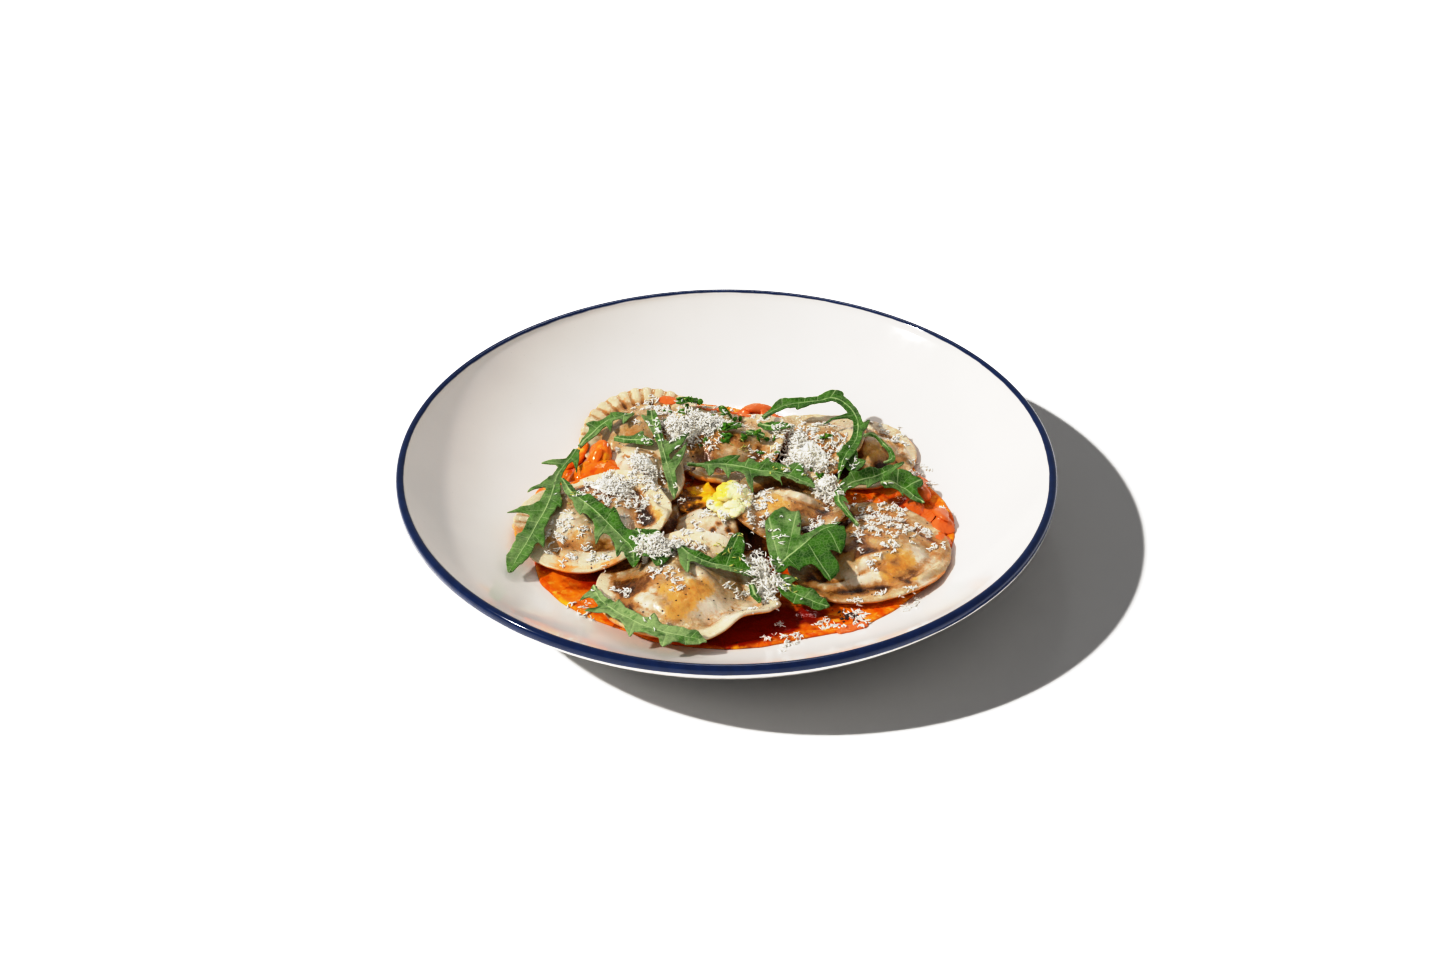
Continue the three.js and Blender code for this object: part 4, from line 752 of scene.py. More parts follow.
# ---------------------------------------------------------------- finishes
class Finish:
    """A node material painted layer over layer. It reads Object coordinates and attributes alone.

    A noise is given as its lump size in millimetres, detail, roughness and distortion."""

    def __init__(self, name, base, **constants):
        self.base = base
        self.material = bpy.data.materials.new(name)
        self.material.use_nodes = True
        self.tree = self.material.node_tree
        self.tree.nodes.clear()
        output = self.tree.nodes.new("ShaderNodeOutputMaterial")
        self.shader = self.tree.nodes.new("ShaderNodeBsdfPrincipled")
        self.tree.links.new(self.shader.outputs["BSDF"], output.inputs["Surface"])
        self.place = self.tree.nodes.new("ShaderNodeTexCoord").outputs["Object"]
        for socket, value in constants.items():
            self.shader.inputs[socket.replace("_", " ")].default_value = value

    def node(self, kind, inputs=(), **settings):
        made = self.tree.nodes.new("ShaderNode" + kind)
        for name, value in settings.items():
            setattr(made, name, value)
        for name, value in dict(inputs).items():
            self.feed(made.inputs[name], value)
        return made

    def feed(self, socket, value):
        if isinstance(value, bpy.types.NodeSocket):
            self.tree.links.new(value, socket)
        else:
            socket.default_value = value

    def noise(self, size, detail=3.0, roughness=0.5, distortion=0.0):
        """Noise from 0 to 1."""
        inputs = {
            "Vector": self.place, "Scale": 1 / (size * MM), "Detail": detail, "Roughness": roughness,
            "Distortion": distortion,
        }
        return self.node("TexNoise", inputs).outputs["Fac"]

    def attribute(self, name):
        return self.node("Attribute", attribute_name=name).outputs["Fac"]

    def math(self, how, a, b=0.0):
        return self.node("Math", {0: a, 1: b}, operation=how).outputs[0]

    def times(self, a, b):
        return self.math("MULTIPLY", a, b)

    def plus(self, a, b):
        return self.math("ADD", a, b)

    def span(self, value, low, high, to_low=0.0, to_high=1.0):
        """Moves a value from the span low to high onto another one, softly at both ends."""
        inputs = {"Value": value, 1: low, 2: high, 3: to_low, 4: to_high}
        return self.node("MapRange", inputs, interpolation_type="SMOOTHSTEP").outputs["Result"]

    def patches(self, noise, low, high, to_low=0.0, to_high=1.0):
        """Patches where a noise is high, with soft edges from low to high."""
        return self.span(self.noise(*noise), low, high, to_low, to_high)

    def spread(self, name, noise, raggedness, low, high):
        """Where an attribute is high, with an edge made ragged by a noise."""
        uneven = self.times(self.math("SUBTRACT", self.noise(*noise), 0.5), raggedness)
        return self.span(self.plus(self.attribute(name), uneven), low, high)

    def mix(self, share, a, b):
        a, b = (c if isinstance(c, bpy.types.NodeSocket) else (*tuple(c)[:3], 1) for c in (a, b))
        return self.node("Mix", {0: share, 6: a, 7: b}, data_type="RGBA").outputs[2]

    def layer(self, share, colour):
        """Paints a share of a colour over what is there."""
        self.base = self.mix(share, self.base, colour)

    def relief(self, height, depth, strength, socket="Normal"):
        """Bump whose height runs from 0 to 1 over depth millimetres."""
        inputs = {"Height": height, "Distance": depth * MM, "Strength": strength}
        self.feed(self.shader.inputs[socket], self.node("Bump", inputs).outputs["Normal"])

    def done(self, *roughness):
        """Gives the material, with its layers and with a roughness in patches."""
        self.feed(self.shader.inputs["Base Color"], self.base)
        self.feed(self.shader.inputs["Roughness"], self.patches(*roughness))
        return self.material


def toned(colour, share):
    """A colour made lighter or darker."""
    return [min(1, share * c) for c in colour]


def glaze_finish(look):
    """Glossy off-white glaze with a dark blue band painted by hand over the rim."""
    f = Finish("glaze", toned(look.glaze, 0.97), IOR=1.48, Specular_IOR_Level=0.4)
    f.layer(f.patches((30, 2), 0.3, 0.7), look.glaze)
    f.layer(f.patches((0.8, 1), 0.74, 0.8), toned(look.glaze, 0.9))
    split = f.node("SeparateXYZ", {0: f.place})
    flat = f.node("CombineXYZ", {0: split.outputs[0], 1: split.outputs[1]}).outputs[0]
    distance = f.node("VectorMath", {0: flat}, operation="LENGTH").outputs["Value"]
    wobble = f.times(f.noise(9, 3), look.brush_wobble)
    inner_edge = look.rim_radius - look.band_reach
    inner = f.span(f.plus(distance, wobble), inner_edge + 0.00012, inner_edge + 0.0005)
    outer_edge = BOWL_SIZE.z - look.band_drop
    outer = f.span(f.plus(split.outputs[2], wobble), outer_edge, outer_edge + 0.0004)
    brushed = f.mix(f.patches((4, 3), 0.35, 0.7), look.band, toned(look.band, 1.3))
    f.layer(f.times(inner, outer), brushed)
    f.relief(f.noise(7, 2), 0.05, 0.5)
    return f.done((5, 3), 0.2, 0.8, 0.07, 0.15)


def pasta_finish(look):
    """Cooked dough: cream to tan, with browned butter, painted shade in its hollows and gaps, tomato juice
    and a wet film.
    """
    f = Finish(
        "pasta", look.dough, IOR=1.4, Specular_IOR_Level=0.25, Coat_Weight=0.8, Coat_Roughness=0.05,
        Subsurface_Weight=0.12, Subsurface_Scale=0.0014,
    )
    dome = f.attribute("dome")
    f.layer(f.times(f.patches((5, 4, 0.6, 0.6), 0.3, 0.54), f.span(dome, 0, 1, 0.16, 1)), look.filling)
    for noise, low, high, share, colour in (
        ((8, 4, 0.6, 0.8), 0.4, 0.64, 0.72, look.tan),
        ((2.1, 4, 0.65, 0.6), 0.53, 0.68, 0.6, look.tan),
        ((3.6, 4, 0.62, 0.8), 0.5, 0.66, 0.55, look.honey),
    ):
        f.layer(f.times(f.times(f.patches(noise, low, high), dome), share), colour)
    f.layer(f.times(f.attribute("milky"), 0.8), look.milk)
    f.layer(f.times(f.patches((0.9, 3, 0.65), 0.3, 0.75), 0.2), look.milk)
    # The browned layers hold browned butter together with painted shade in hollows, creases, folds, flutes
    # and gaps.
    for name, low, high, colour in (
        ("amber", 0.2, 0.6, look.honey), ("amber", 0.6, 1.0, look.butter),
        ("browned", 0.14, 0.56, look.tan), ("browned", 0.54, 0.84, look.brown),
        ("browned", 0.86, 1.15, look.burnt), ("stain", 0.2, 0.8, look.juice),
    ):
        f.layer(f.spread(name, (1.7, 4, 0.65, 0.4), 0.9, low, high), colour)
    f.layer(f.patches((0.55, 1), 0.72, 0.78), look.tan)
    f.relief(f.plus(f.noise(1.3, 4, 0.6), f.times(f.noise(0.35, 2), 0.3)), 0.28, 0.8)
    f.relief(f.noise(2.2, 5, 0.68), 0.34, 0.9, "Coat Normal")
    return f.done((3.2, 3), 0.35, 0.62, 0.52, 0.2)


def flesh_finish(look):
    """Smooth glossy flesh of peeled tomato, which lets light in."""
    f = Finish(
        "tomato flesh", look.flesh, IOR=1.36, Specular_IOR_Level=0.05, Coat_Weight=0.7,
        Coat_Roughness=0.05, Subsurface_Weight=0.2, Subsurface_Scale=0.002,
        Subsurface_Radius=(1, 0.25, 0.06),
    )
    f.layer(f.patches((6, 3, 0.55, 0.6), 0.48, 0.72), look.sauce_pale)
    f.layer(f.patches((4, 3), 0.55, 0.7), look.sauce_deep)
    f.layer(f.spread("amber", (2, 4, 0.65), 0.8, 0.3, 0.8), look.oil)
    f.relief(f.noise(3, 3), 0.22, 0.6)
    f.relief(f.noise(2.4, 3, 0.6), 0.22, 0.7, "Coat Normal")
    return f.done((2.6, 3), 0.3, 0.7, 0.26, 0.42)


def sauce_finish(look):
    """Oily tomato sauce with pulp, and painted shade where rims lie over it."""
    f = Finish(
        "sauce", look.sauce_deep, IOR=1.36, Specular_IOR_Level=0.04, Coat_Weight=0.32, Coat_Roughness=0.03
    )
    f.layer(f.patches((6, 4, 0.6, 0.8), 0.36, 0.6), look.sauce)
    f.layer(f.patches((3, 3, 0.6), 0.52, 0.7), look.sauce_pale)
    # Dark red of thick sauce, and painted shade under the front flap and the left lip.
    f.layer(f.spread("deep", (5, 3), 0.6, 0.2, 0.75), look.dark_sauce_and_shade)
    f.layer(f.spread("amber", (2, 4, 0.65), 0.8, 0.3, 0.8), look.oil)
    # Char, with a few painted shadows among the browned spots.
    f.layer(f.spread("browned", (2, 4, 0.65), 0.8, 0.45, 0.9), look.char)
    f.layer(f.patches((0.6, 1), 0.75, 0.8), look.char)
    f.relief(f.noise(1.8, 4, 0.6), 0.24, 0.7)
    f.relief(f.noise(3, 3, 0.6), 0.3, 0.7, "Coat Normal")
    return f.done((2.6, 3), 0.3, 0.7, 0.3, 0.5)


def leaf_finish(look):
    """A leaf: mottled green with painted light and shade, pale midrib and side veins, satin wax."""
    f = Finish("rocket", look.leaf_deep_and_shade, IOR=1.4, Specular_IOR_Level=0.28)
    # Painted light and shade: lit leaves and halves turn paler, shaded and back-lit ones deeper green,
    # along with each leaf's own green.
    tone = f.attribute("tone")
    f.layer(f.patches((5, 4, 0.6), 0.36, 0.58), look.leaf)
    f.layer(f.times(tone, f.patches((7, 4, 0.6), 0.36, 0.62, 0.12, 1.2)), look.leaf_pale_and_lit)
    f.layer(f.patches((1.2, 3, 0.6), 0.3, 0.7, 0, 0.25), look.leaf_deep_and_shade)
    f.layer(f.span(tone, -1, 0, 0.9, 0), look.leaf_deep_and_shade)
    mesh = {"Vector": f.place, "Scale": 1 / (1.5 * MM)}
    cells = f.node("TexVoronoi", mesh, feature="DISTANCE_TO_EDGE").outputs["Distance"]
    net = f.span(cells, 0.02, 0.12, 1, 0)
    f.layer(f.times(net, 0.16), look.vein)
    rib, side = (
        f.span(f.math("ABSOLUTE", f.attribute(name)), low, high, share, 0)
        for name, low, high, share in (("rib", 0.08, 0.36, 0.85), ("side_vein", 0.04, 0.22, 0.55))
    )
    f.layer(f.math("MAXIMUM", rib, side), look.vein)
    f.relief(f.math("SUBTRACT", f.noise(1.6, 2), f.times(net, 0.4)), 0.12, 0.7)
    return f.done((3, 2), 0.3, 0.7, 0.36, 0.5)


def grated_finish(name, colour, shade):
    """Matt crumbly shreds, each a little lighter or darker than the next."""
    f = Finish(
        name, colour, IOR=1.4, Subsurface_Weight=0.5, Subsurface_Scale=0.0014,
        Subsurface_Radius=(1, 0.95, 0.85),
    )
    f.layer(f.patches((1.6, 2), 0.35, 0.65), shade)
    f.layer(f.times(f.patches((0.3, 2), 0.4, 0.7), 0.4), toned(colour, 1.08))
    f.relief(f.noise(0.25, 3), 0.05, 0.6)
    return f.done((0.8, 2), 0.3, 0.7, 0.5, 0.75)


def curd_finish(look):
    """Soft curd, cream with runs of yolk-yellow butter."""
    f = Finish(
        "curd", look.curd, IOR=1.42, Coat_Weight=0.3, Coat_Roughness=0.15,
        Subsurface_Weight=0.25, Subsurface_Scale=0.002,
    )
    f.layer(f.spread("amber", (2.2, 3, 0.6), 1.1, 0.3, 0.75), look.curd_yolk)
    f.layer(f.patches((1.1, 3), 0.62, 0.74), look.milk)
    f.layer(f.patches((0.9, 1), 0.72, 0.77), look.butter)
    f.relief(f.noise(0.7, 4, 0.6), 0.25, 0.9)
    return f.done((2, 3), 0.3, 0.7, 0.3, 0.55)


def butter_finish(look):
    """Clear browned butter: amber yellow, burnt nearly black along its rim."""
    f = Finish(
        "browned butter", look.butter, IOR=1.4, Specular_IOR_Level=0.1, Coat_Weight=0.3,
        Coat_Roughness=0.04,
    )
    bright = f.mix(f.patches((2.5, 3), 0.35, 0.65), look.yellow, look.oil)
    f.layer(f.spread("amber", (1.8, 4, 0.65, 0.5), 1.1, 0.3, 0.6), bright)
    f.layer(f.spread("browned", (1.8, 4, 0.65, 0.5), 1.1, 0.4, 0.66), look.brown)
    f.layer(f.spread("browned", (1.8, 4, 0.65, 0.5), 1.1, 0.66, 0.9), look.burnt)
    f.relief(f.noise(1.4, 3), 0.2, 0.7)
    return f.done((2.4, 3), 0.3, 0.7, 0.1, 0.26)


def speck_finish(name, colour, light):
    """Dark dry specks, some of them browner."""
    f = Finish(name, colour, IOR=1.45)
    f.layer(f.patches((1.8, 2), 0.4, 0.65), light)
    f.relief(f.noise(0.3, 2), 0.08, 0.8)
    return f.done((0.5, 2), 0.3, 0.7, 0.35, 0.6)


def floor_finish(look):
    """Plain matt floor."""
    f = Finish("floor", look.floor, Specular_IOR_Level=0.1)
    f.layer(f.noise(300, 2), toned(look.floor, 0.985))
    return f.done((120, 2), 0.3, 0.7, 0.85, 0.95)


# ---------------------------------------------------------------- meshes
def nothing_selected():
    if bpy.context.object and bpy.context.object.mode != "OBJECT":
        bpy.ops.object.mode_set(mode="OBJECT")
    bpy.ops.object.select_all(action="DESELECT")


def places_of(obj):
    points = np.empty(len(obj.data.vertices) * 3)
    obj.data.vertices.foreach_get("co", points)
    return points.reshape(-1, 3)


def in_mm(obj):
    """The x, y and z of every vertex, in millimetres."""
    return (places_of(obj) / MM).T


def set_places(obj, x, y, z):
    """Moves every vertex of a mesh to its place, given in millimetres."""
    points = np.stack([x, y, z], 1) * MM
    obj.data.vertices.foreach_set("co", points.ravel())
    obj.data.update()


def note(obj, name, values):
    """Stores one number for each vertex, for the finish to read."""
    layer = obj.data.attributes.new(name, "FLOAT", "POINT")
    layer.data.foreach_set("value", np.asarray(values, np.float32))


def apply_modifier(obj, kind, **settings):
    nothing_selected()
    obj.select_set(True)
    bpy.context.view_layer.objects.active = obj
    modifier = obj.modifiers.new(kind, kind)
    for name, value in settings.items():
        setattr(modifier, name, value)
    bpy.ops.object.modifier_apply(modifier=modifier.name)


def finished(obj, name, material, replaced=()):
    """Names, smooths and dresses a piece, and ties it to the body it rides on."""
    obj.name = obj.data.name = name
    obj.data.materials.clear()
    obj.data.materials.append(material)
    obj.data.shade_smooth()
    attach(obj, "root")
    if replaced:
        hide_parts(*replaced)
    return obj


def round_body(spokes, rings, place, upper_share=0.85):
    """A closed body from a sphere. Its rings down to upper_share make the upper face, the rest the
    lower one. place gets direction, share of the reach and whether a point is on the upper face."""
    nothing_selected()
    bpy.ops.mesh.primitive_uv_sphere_add(segments=spokes, ring_count=rings, radius=1)
    obj = bpy.context.object
    x, y, z = places_of(obj).T
    turn = np.arctan2(y, x)
    tilt = np.arccos(np.clip(z, -1, 1)) / np.pi
    upper = tilt <= upper_share + 1e-6
    share = np.where(upper, tilt / upper_share, (1 - tilt) / (1 - upper_share))
    set_places(obj, *place(turn, np.clip(share, 0, 1), upper))
    return obj


def sheet(rows, columns, place):
    """A flat grid bent into shape. place gets the share along it and the place across, -1 to 1."""
    nothing_selected()
    bpy.ops.mesh.primitive_grid_add(x_subdivisions=rows, y_subdivisions=columns, size=2)
    obj = bpy.context.object
    x, y, _ = places_of(obj).T
    set_places(obj, *place((x + 1) / 2, y))
    return obj


def curls(rng, x, y, z, length, width, thickness, tilt, curl):
    """Corners and faces of curled strips that lie at given places."""
    count, rings = len(x), 5
    reach = length * rng.uniform(0.55, 1.25, count)
    bend = rng.normal(0, curl, count)
    bend = np.where(rng.random(count) < 0.35, bend * 2.2, bend)
    steps = np.linspace(-0.5, 0.5, rings)
    angle = bend[:, None] * steps[None, :]
    stride = reach[:, None] / (rings - 1)
    ahead = np.stack([np.cos(angle), np.sin(angle), 0.22 * np.sin(3 * angle + bend[:, None])], 2)
    ahead /= np.linalg.norm(ahead, axis=2, keepdims=True)
    middle = np.cumsum(ahead * stride[:, :, None], 1)
    middle -= middle.mean(1, keepdims=True)
    side = np.stack([-ahead[:, :, 1], ahead[:, :, 0], np.zeros_like(angle)], 2)
    side /= np.linalg.norm(side, axis=2, keepdims=True)
    up = np.cross(ahead, side)
    taper = (1 - 0.6 * (2 * np.abs(steps)) ** 3)[None, :, None]
    half = (width * rng.uniform(0.5, 1.3, count) / 2)[:, None, None] * taper
    deep = (thickness * rng.uniform(0.6, 1.2, count) / 2)[:, None, None] * taper
    section = [(1, 1), (-1, 1), (-1, -1), (1, -1)]
    corners = np.stack([middle + a * half * side + b * deep * up for a, b in section], 2)
    yaw = rng.uniform(0, 2 * np.pi, count)
    pitch = rng.normal(0, tilt, count)
    roll = rng.normal(0, 1.0, count)
    for spin, j, k in ((roll, 1, 2), (pitch, 2, 0), (yaw, 0, 1)):
        c, s = np.cos(spin)[:, None, None], np.sin(spin)[:, None, None]
        first, second = corners[..., j], corners[..., k]
        corners[..., j], corners[..., k] = first * c - second * s, first * s + second * c
    corners += np.stack([x, y, z], 1)[:, None, None, :]
    faces = [(3, 2, 1, 0), tuple(4 * (rings - 1) + k for k in range(4))]
    for ring in range(rings - 1):
        for k in range(4):
            a, b = 4 * ring + k, 4 * ring + (k + 1) % 4
            faces.append((a, b, b + 4, a + 4))
    return corners.reshape(count, -1, 3), np.array(faces)


def specks(rng, x, y, z, size):
    """Corners and faces of small uneven lumps that lie at given places."""
    base = np.array([(1, 0, 0), (0, 1, 0), (-1, 0, 0), (0, -1, 0), (0, 0, 0.8), (0, 0, -0.8)], float)
    count = len(x)
    corners = base[None] * rng.uniform(0.6, 1.3, (count, 6, 1)) * rng.uniform(0.5, 1.4, (count, 1, 3))
    yaw = rng.uniform(0, 2 * np.pi, count)[:, None]
    c, s = np.cos(yaw), np.sin(yaw)
    px, py, pz = (corners[..., axis] for axis in range(3))
    turned = np.stack([px * c - py * s, px * s + py * c, pz], 2)
    turned *= (size * rng.uniform(0.5, 1.5, count) / 2)[:, None, None]
    turned += np.stack([x, y, z], 1)[:, None, :]
    faces = [(0, 1, 4), (1, 2, 4), (2, 3, 4), (3, 0, 4), (1, 0, 5), (2, 1, 5), (3, 2, 5), (0, 3, 5)]
    return turned, np.array(faces)


def one_mesh(corners, faces):
    """Joins equal small things whose corners are stacked, into one mesh."""
    count, each = corners.shape[:2]
    numbered = faces[None] + (np.arange(count) * each)[:, None, None]
    mesh = bpy.data.meshes.new("joined")
    mesh.from_pydata(corners.reshape(-1, 3) * MM, [], numbered.reshape(-1, faces.shape[1]).tolist())
    mesh.update()
    obj = bpy.data.objects.new("joined", mesh)
    bpy.context.scene.collection.objects.link(obj)
    return obj


def as_one(objects):
    """Joins pieces of one kind into one mesh."""
    nothing_selected()
    for obj in objects:
        obj.select_set(True)
    bpy.context.view_layer.objects.active = objects[0]
    bpy.ops.object.join()
    return objects[0]


def strewn(rng, places, clump=1):
    """Random points round each place: x, y, spread and how many. They can come in clumps."""
    drawn = []
    for x, y, spread, count in places:
        heads = max(1, count // clump)
        middles = np.array([x, y]) + rng.normal(0, spread * 0.62, (heads, 2))
        apart = 0.6 if clump > 1 else 0
        drawn.append(np.repeat(middles, clump, 0) + rng.normal(0, apart, (heads * clump, 2)))
    return np.concatenate(drawn).T


def off_leaves(rng, x, y, share):
    """Leaves out the places that are on a leaf, but for a share of them."""
    keep = (leafy.at(x, y) < 0.5) | (rng.random(len(x)) < share)
    return x[keep], y[keep]


def named(prefix):
    """The nodes of the frame whose names start so."""
    return [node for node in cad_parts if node.startswith(prefix)]


# ---------------------------------------------------------------- the pieces
def wall_point(share, depth):
    """Radius and height so far along the wall's arc, and so deep behind its upper face."""
    slope, arc = LIP_SLOPE * share, ARC_RADIUS + depth
    return BASE_RADIUS + arc * math.sin(slope), BASE_TOP + ARC_RADIUS - arc * math.cos(slope)


def turned_bowl(look):
    """The bowl: one ring of edges, carried out along the foot, up the wall, over the lip and back in."""
    bead = (look.rim_radius / MM - LIP_BEAD, BOWL_SIZE.z / MM - LIP_BEAD)
    stations = list(FOOT_RING)
    stations += [wall_point(share, look.wall / MM) for share in np.linspace(0, 1, 26)]
    stations += [around(bead, LIP_BEAD, turn) for turn in np.radians(np.linspace(-14, 158, 17))]
    stations += [wall_point(share, 0) for share in np.linspace(0.985, 0, 40)]
    stations += [(distance, BASE_TOP) for distance in (48, 24, 6)]
    nothing_selected()
    radius, height = 50.0, 3.0
    bpy.ops.mesh.primitive_circle_add(vertices=look.sides, radius=radius * MM, location=(0, 0, height * MM))
    obj = bpy.context.object
    bpy.ops.object.mode_set(mode="EDIT")
    bpy.ops.mesh.select_all(action="SELECT")
    for next_radius, next_height in stations:
        rise = (0, 0, (next_height - height) * MM)
        bpy.ops.mesh.extrude_region_move(TRANSFORM_OT_translate={"value": rise})
        grow = next_radius / radius
        bpy.ops.transform.resize(value=(grow, grow, 1), center_override=(0, 0, next_height * MM))
        radius, height = next_radius, next_height
    bpy.ops.mesh.edge_face_add()
    bpy.ops.mesh.select_all(action="DESELECT")
    bpy.ops.mesh.select_non_manifold(extend=False)
    bpy.ops.mesh.edge_face_add()
    bpy.ops.mesh.select_all(action="SELECT")
    bpy.ops.mesh.normals_make_consistent(inside=False)
    bpy.ops.object.mode_set(mode="OBJECT")
    bpy.ops.object.transform_apply(location=True, rotation=True, scale=True)
    x, y, z = in_mm(obj)
    distance, turn = np.hypot(x, y), np.arctan2(y, x)
    lift = smooth((z - 4) / 30) * (0.12 * np.sin(2 * turn + 0.6) + 0.08 * np.sin(5 * turn) - 0.2)
    swell = 1 + 0.0006 * np.sin(3 * turn + 1) * smooth((distance - 60) / 60) - 0.0006
    set_places(obj, x * swell, y * swell, z + lift)
    return obj


def outline_of(cover, middle):
    """Reach of a node's outline in each direction, eased over a few degrees."""
    turns = np.linspace(-np.pi, np.pi, 721)[:-1]
    reaches = np.arange(2, 110, 0.25)
    inside = cover.at(*around(middle, reaches[:, None], turns[None])) > 0.5
    beyond = np.cumsum(~inside, 0) > 2
    reach = np.where(inside & ~beyond, reaches[:, None], 0).max(0)
    window = np.exp(-0.5 * (np.arange(-9, 10) / 3.2) ** 2)
    window /= window.sum()
    padded = np.concatenate([reach[-9:], reach, reach[:9]])
    eased = np.convolve(padded, window, "valid")
    return lambda direction: np.interp(direction, turns, eased, period=2 * np.pi)


def fluting(node, x, y, edge):
    """Relief of a rim pressed with a fork, from -1 to 1 times its depth."""
    if node not in FLUTED:
        return np.zeros_like(x)
    middle, radius, first, last, depth = FLUTED[node]
    turn = np.degrees(seen_from(middle, x, y)[1])
    turn = np.where(turn < first - 30, turn + 360, turn)
    along = smooth((turn - first) / 12) * smooth((last - turn) / 12)
    across = smooth((10 - edge) / 2.4)
    wave = np.sin(np.radians(turn) * radius * 2 * np.pi / FLUTE_PITCH) + 0.2
    return depth * along * across * np.tanh(3.4 * wave)


def lifting(node, turn, share):
    """Further lift of a curled rim, and how far it draws in."""
    if node not in LIFTED:
        return 0 * turn, 0 * turn
    toward, half, lift, draw = LIFTED[node]
    near = np.exp(-((off_course(turn, toward) / half) ** 2))
    return lift * near * smooth((share - 0.5) / 0.5), draw * near


def settling(node, turn, share):
    """Share of the gap under a rim that closes where it sinks down."""
    if node not in SETTLED:
        return 0 * turn
    toward, half, most = SETTLED[node]
    near = np.exp(-((off_course(turn, toward) / half) ** 4))
    return most * near * smooth((share - 0.6) / 0.4)


def past_crease(x, y, edge, seed):
    """How far each place is inside the wandering crease round the filling."""
    return edge - RIM_WIDTH - 1.2 * lumps(x, y, 9, seed + 3)


def colour_raviolo(obj, node, seed, edge, top, upper):
    """Notes where filling, butter, milk, juices and painted shade colour a raviolo. edge is the distance
    inward.
    """
    x, y, z = in_mm(obj)
    # Browned butter spots, with painted shade and pooled juice where the dough lies lower than round about.
    hollow = blur(top.values, 3.5) - top.values
    hollowness = Heights(top.xs, top.ys, hollow).at(x, y)
    browned = spots(x, y, BROWNED_AND_SHADE, seed) + 0.36 * smooth((hollowness - 0.1) / 0.7)
    # Painted shade with a line of dark juice along the crease round the filling.
    crease = past_crease(x, y, edge, seed)
    browned += 0.24 * np.exp(-((crease / 1.8) ** 2)) * smooth(0.5 + lumps(x, y, 8, seed + 13))
    # Painted shade in the groove beside each fold, and lighter colour on its ridge as painted light.
    for line, half, height in FOLDS.get(node, []):
        away, _ = from_line(x, y, line)
        browned += 0.22 * np.exp(-(((away - 1.5 * half) / (0.6 * half)) ** 2))
        browned -= 0.3 * np.exp(-((away / half) ** 4))
    low_stain = smooth((SAUCE_LEVEL + 3.2 + 0.8 * lumps(x, y, 4, seed + 15) - z) / 2.4)
    rim = STAINED_RIM.get(node, 0.5)
    browned *= rim + (1 - rim) * smooth((edge - 2) / 5)
    # Painted shade in the grooves between the flutes.
    browned -= 2.1 * np.minimum(fluting(node, x, y, edge), 0)
    wet_lip = 0.6 * smooth((1.2 - edge) / 0.9) * smooth(0.3 + lumps(x, y, 6, seed + 17))
    low_stain = np.maximum(low_stain, np.where(upper, wet_lip, 0.85))
    note(obj, "browned", np.clip(browned, 0, 1.3))
    note(obj, "dome", FILLED.get(node, 1) * (rim + (1 - rim) * smooth((edge - 5) / 5)))
    note(obj, "amber", spots(x, y, AMBER, seed + 1))
    note(obj, "milky", spots(x, y, MILKY, seed + 2))
    note(obj, "stain", np.clip(spots(x, y, TOMATO_STAIN, seed + 3) + low_stain, 0, 1))


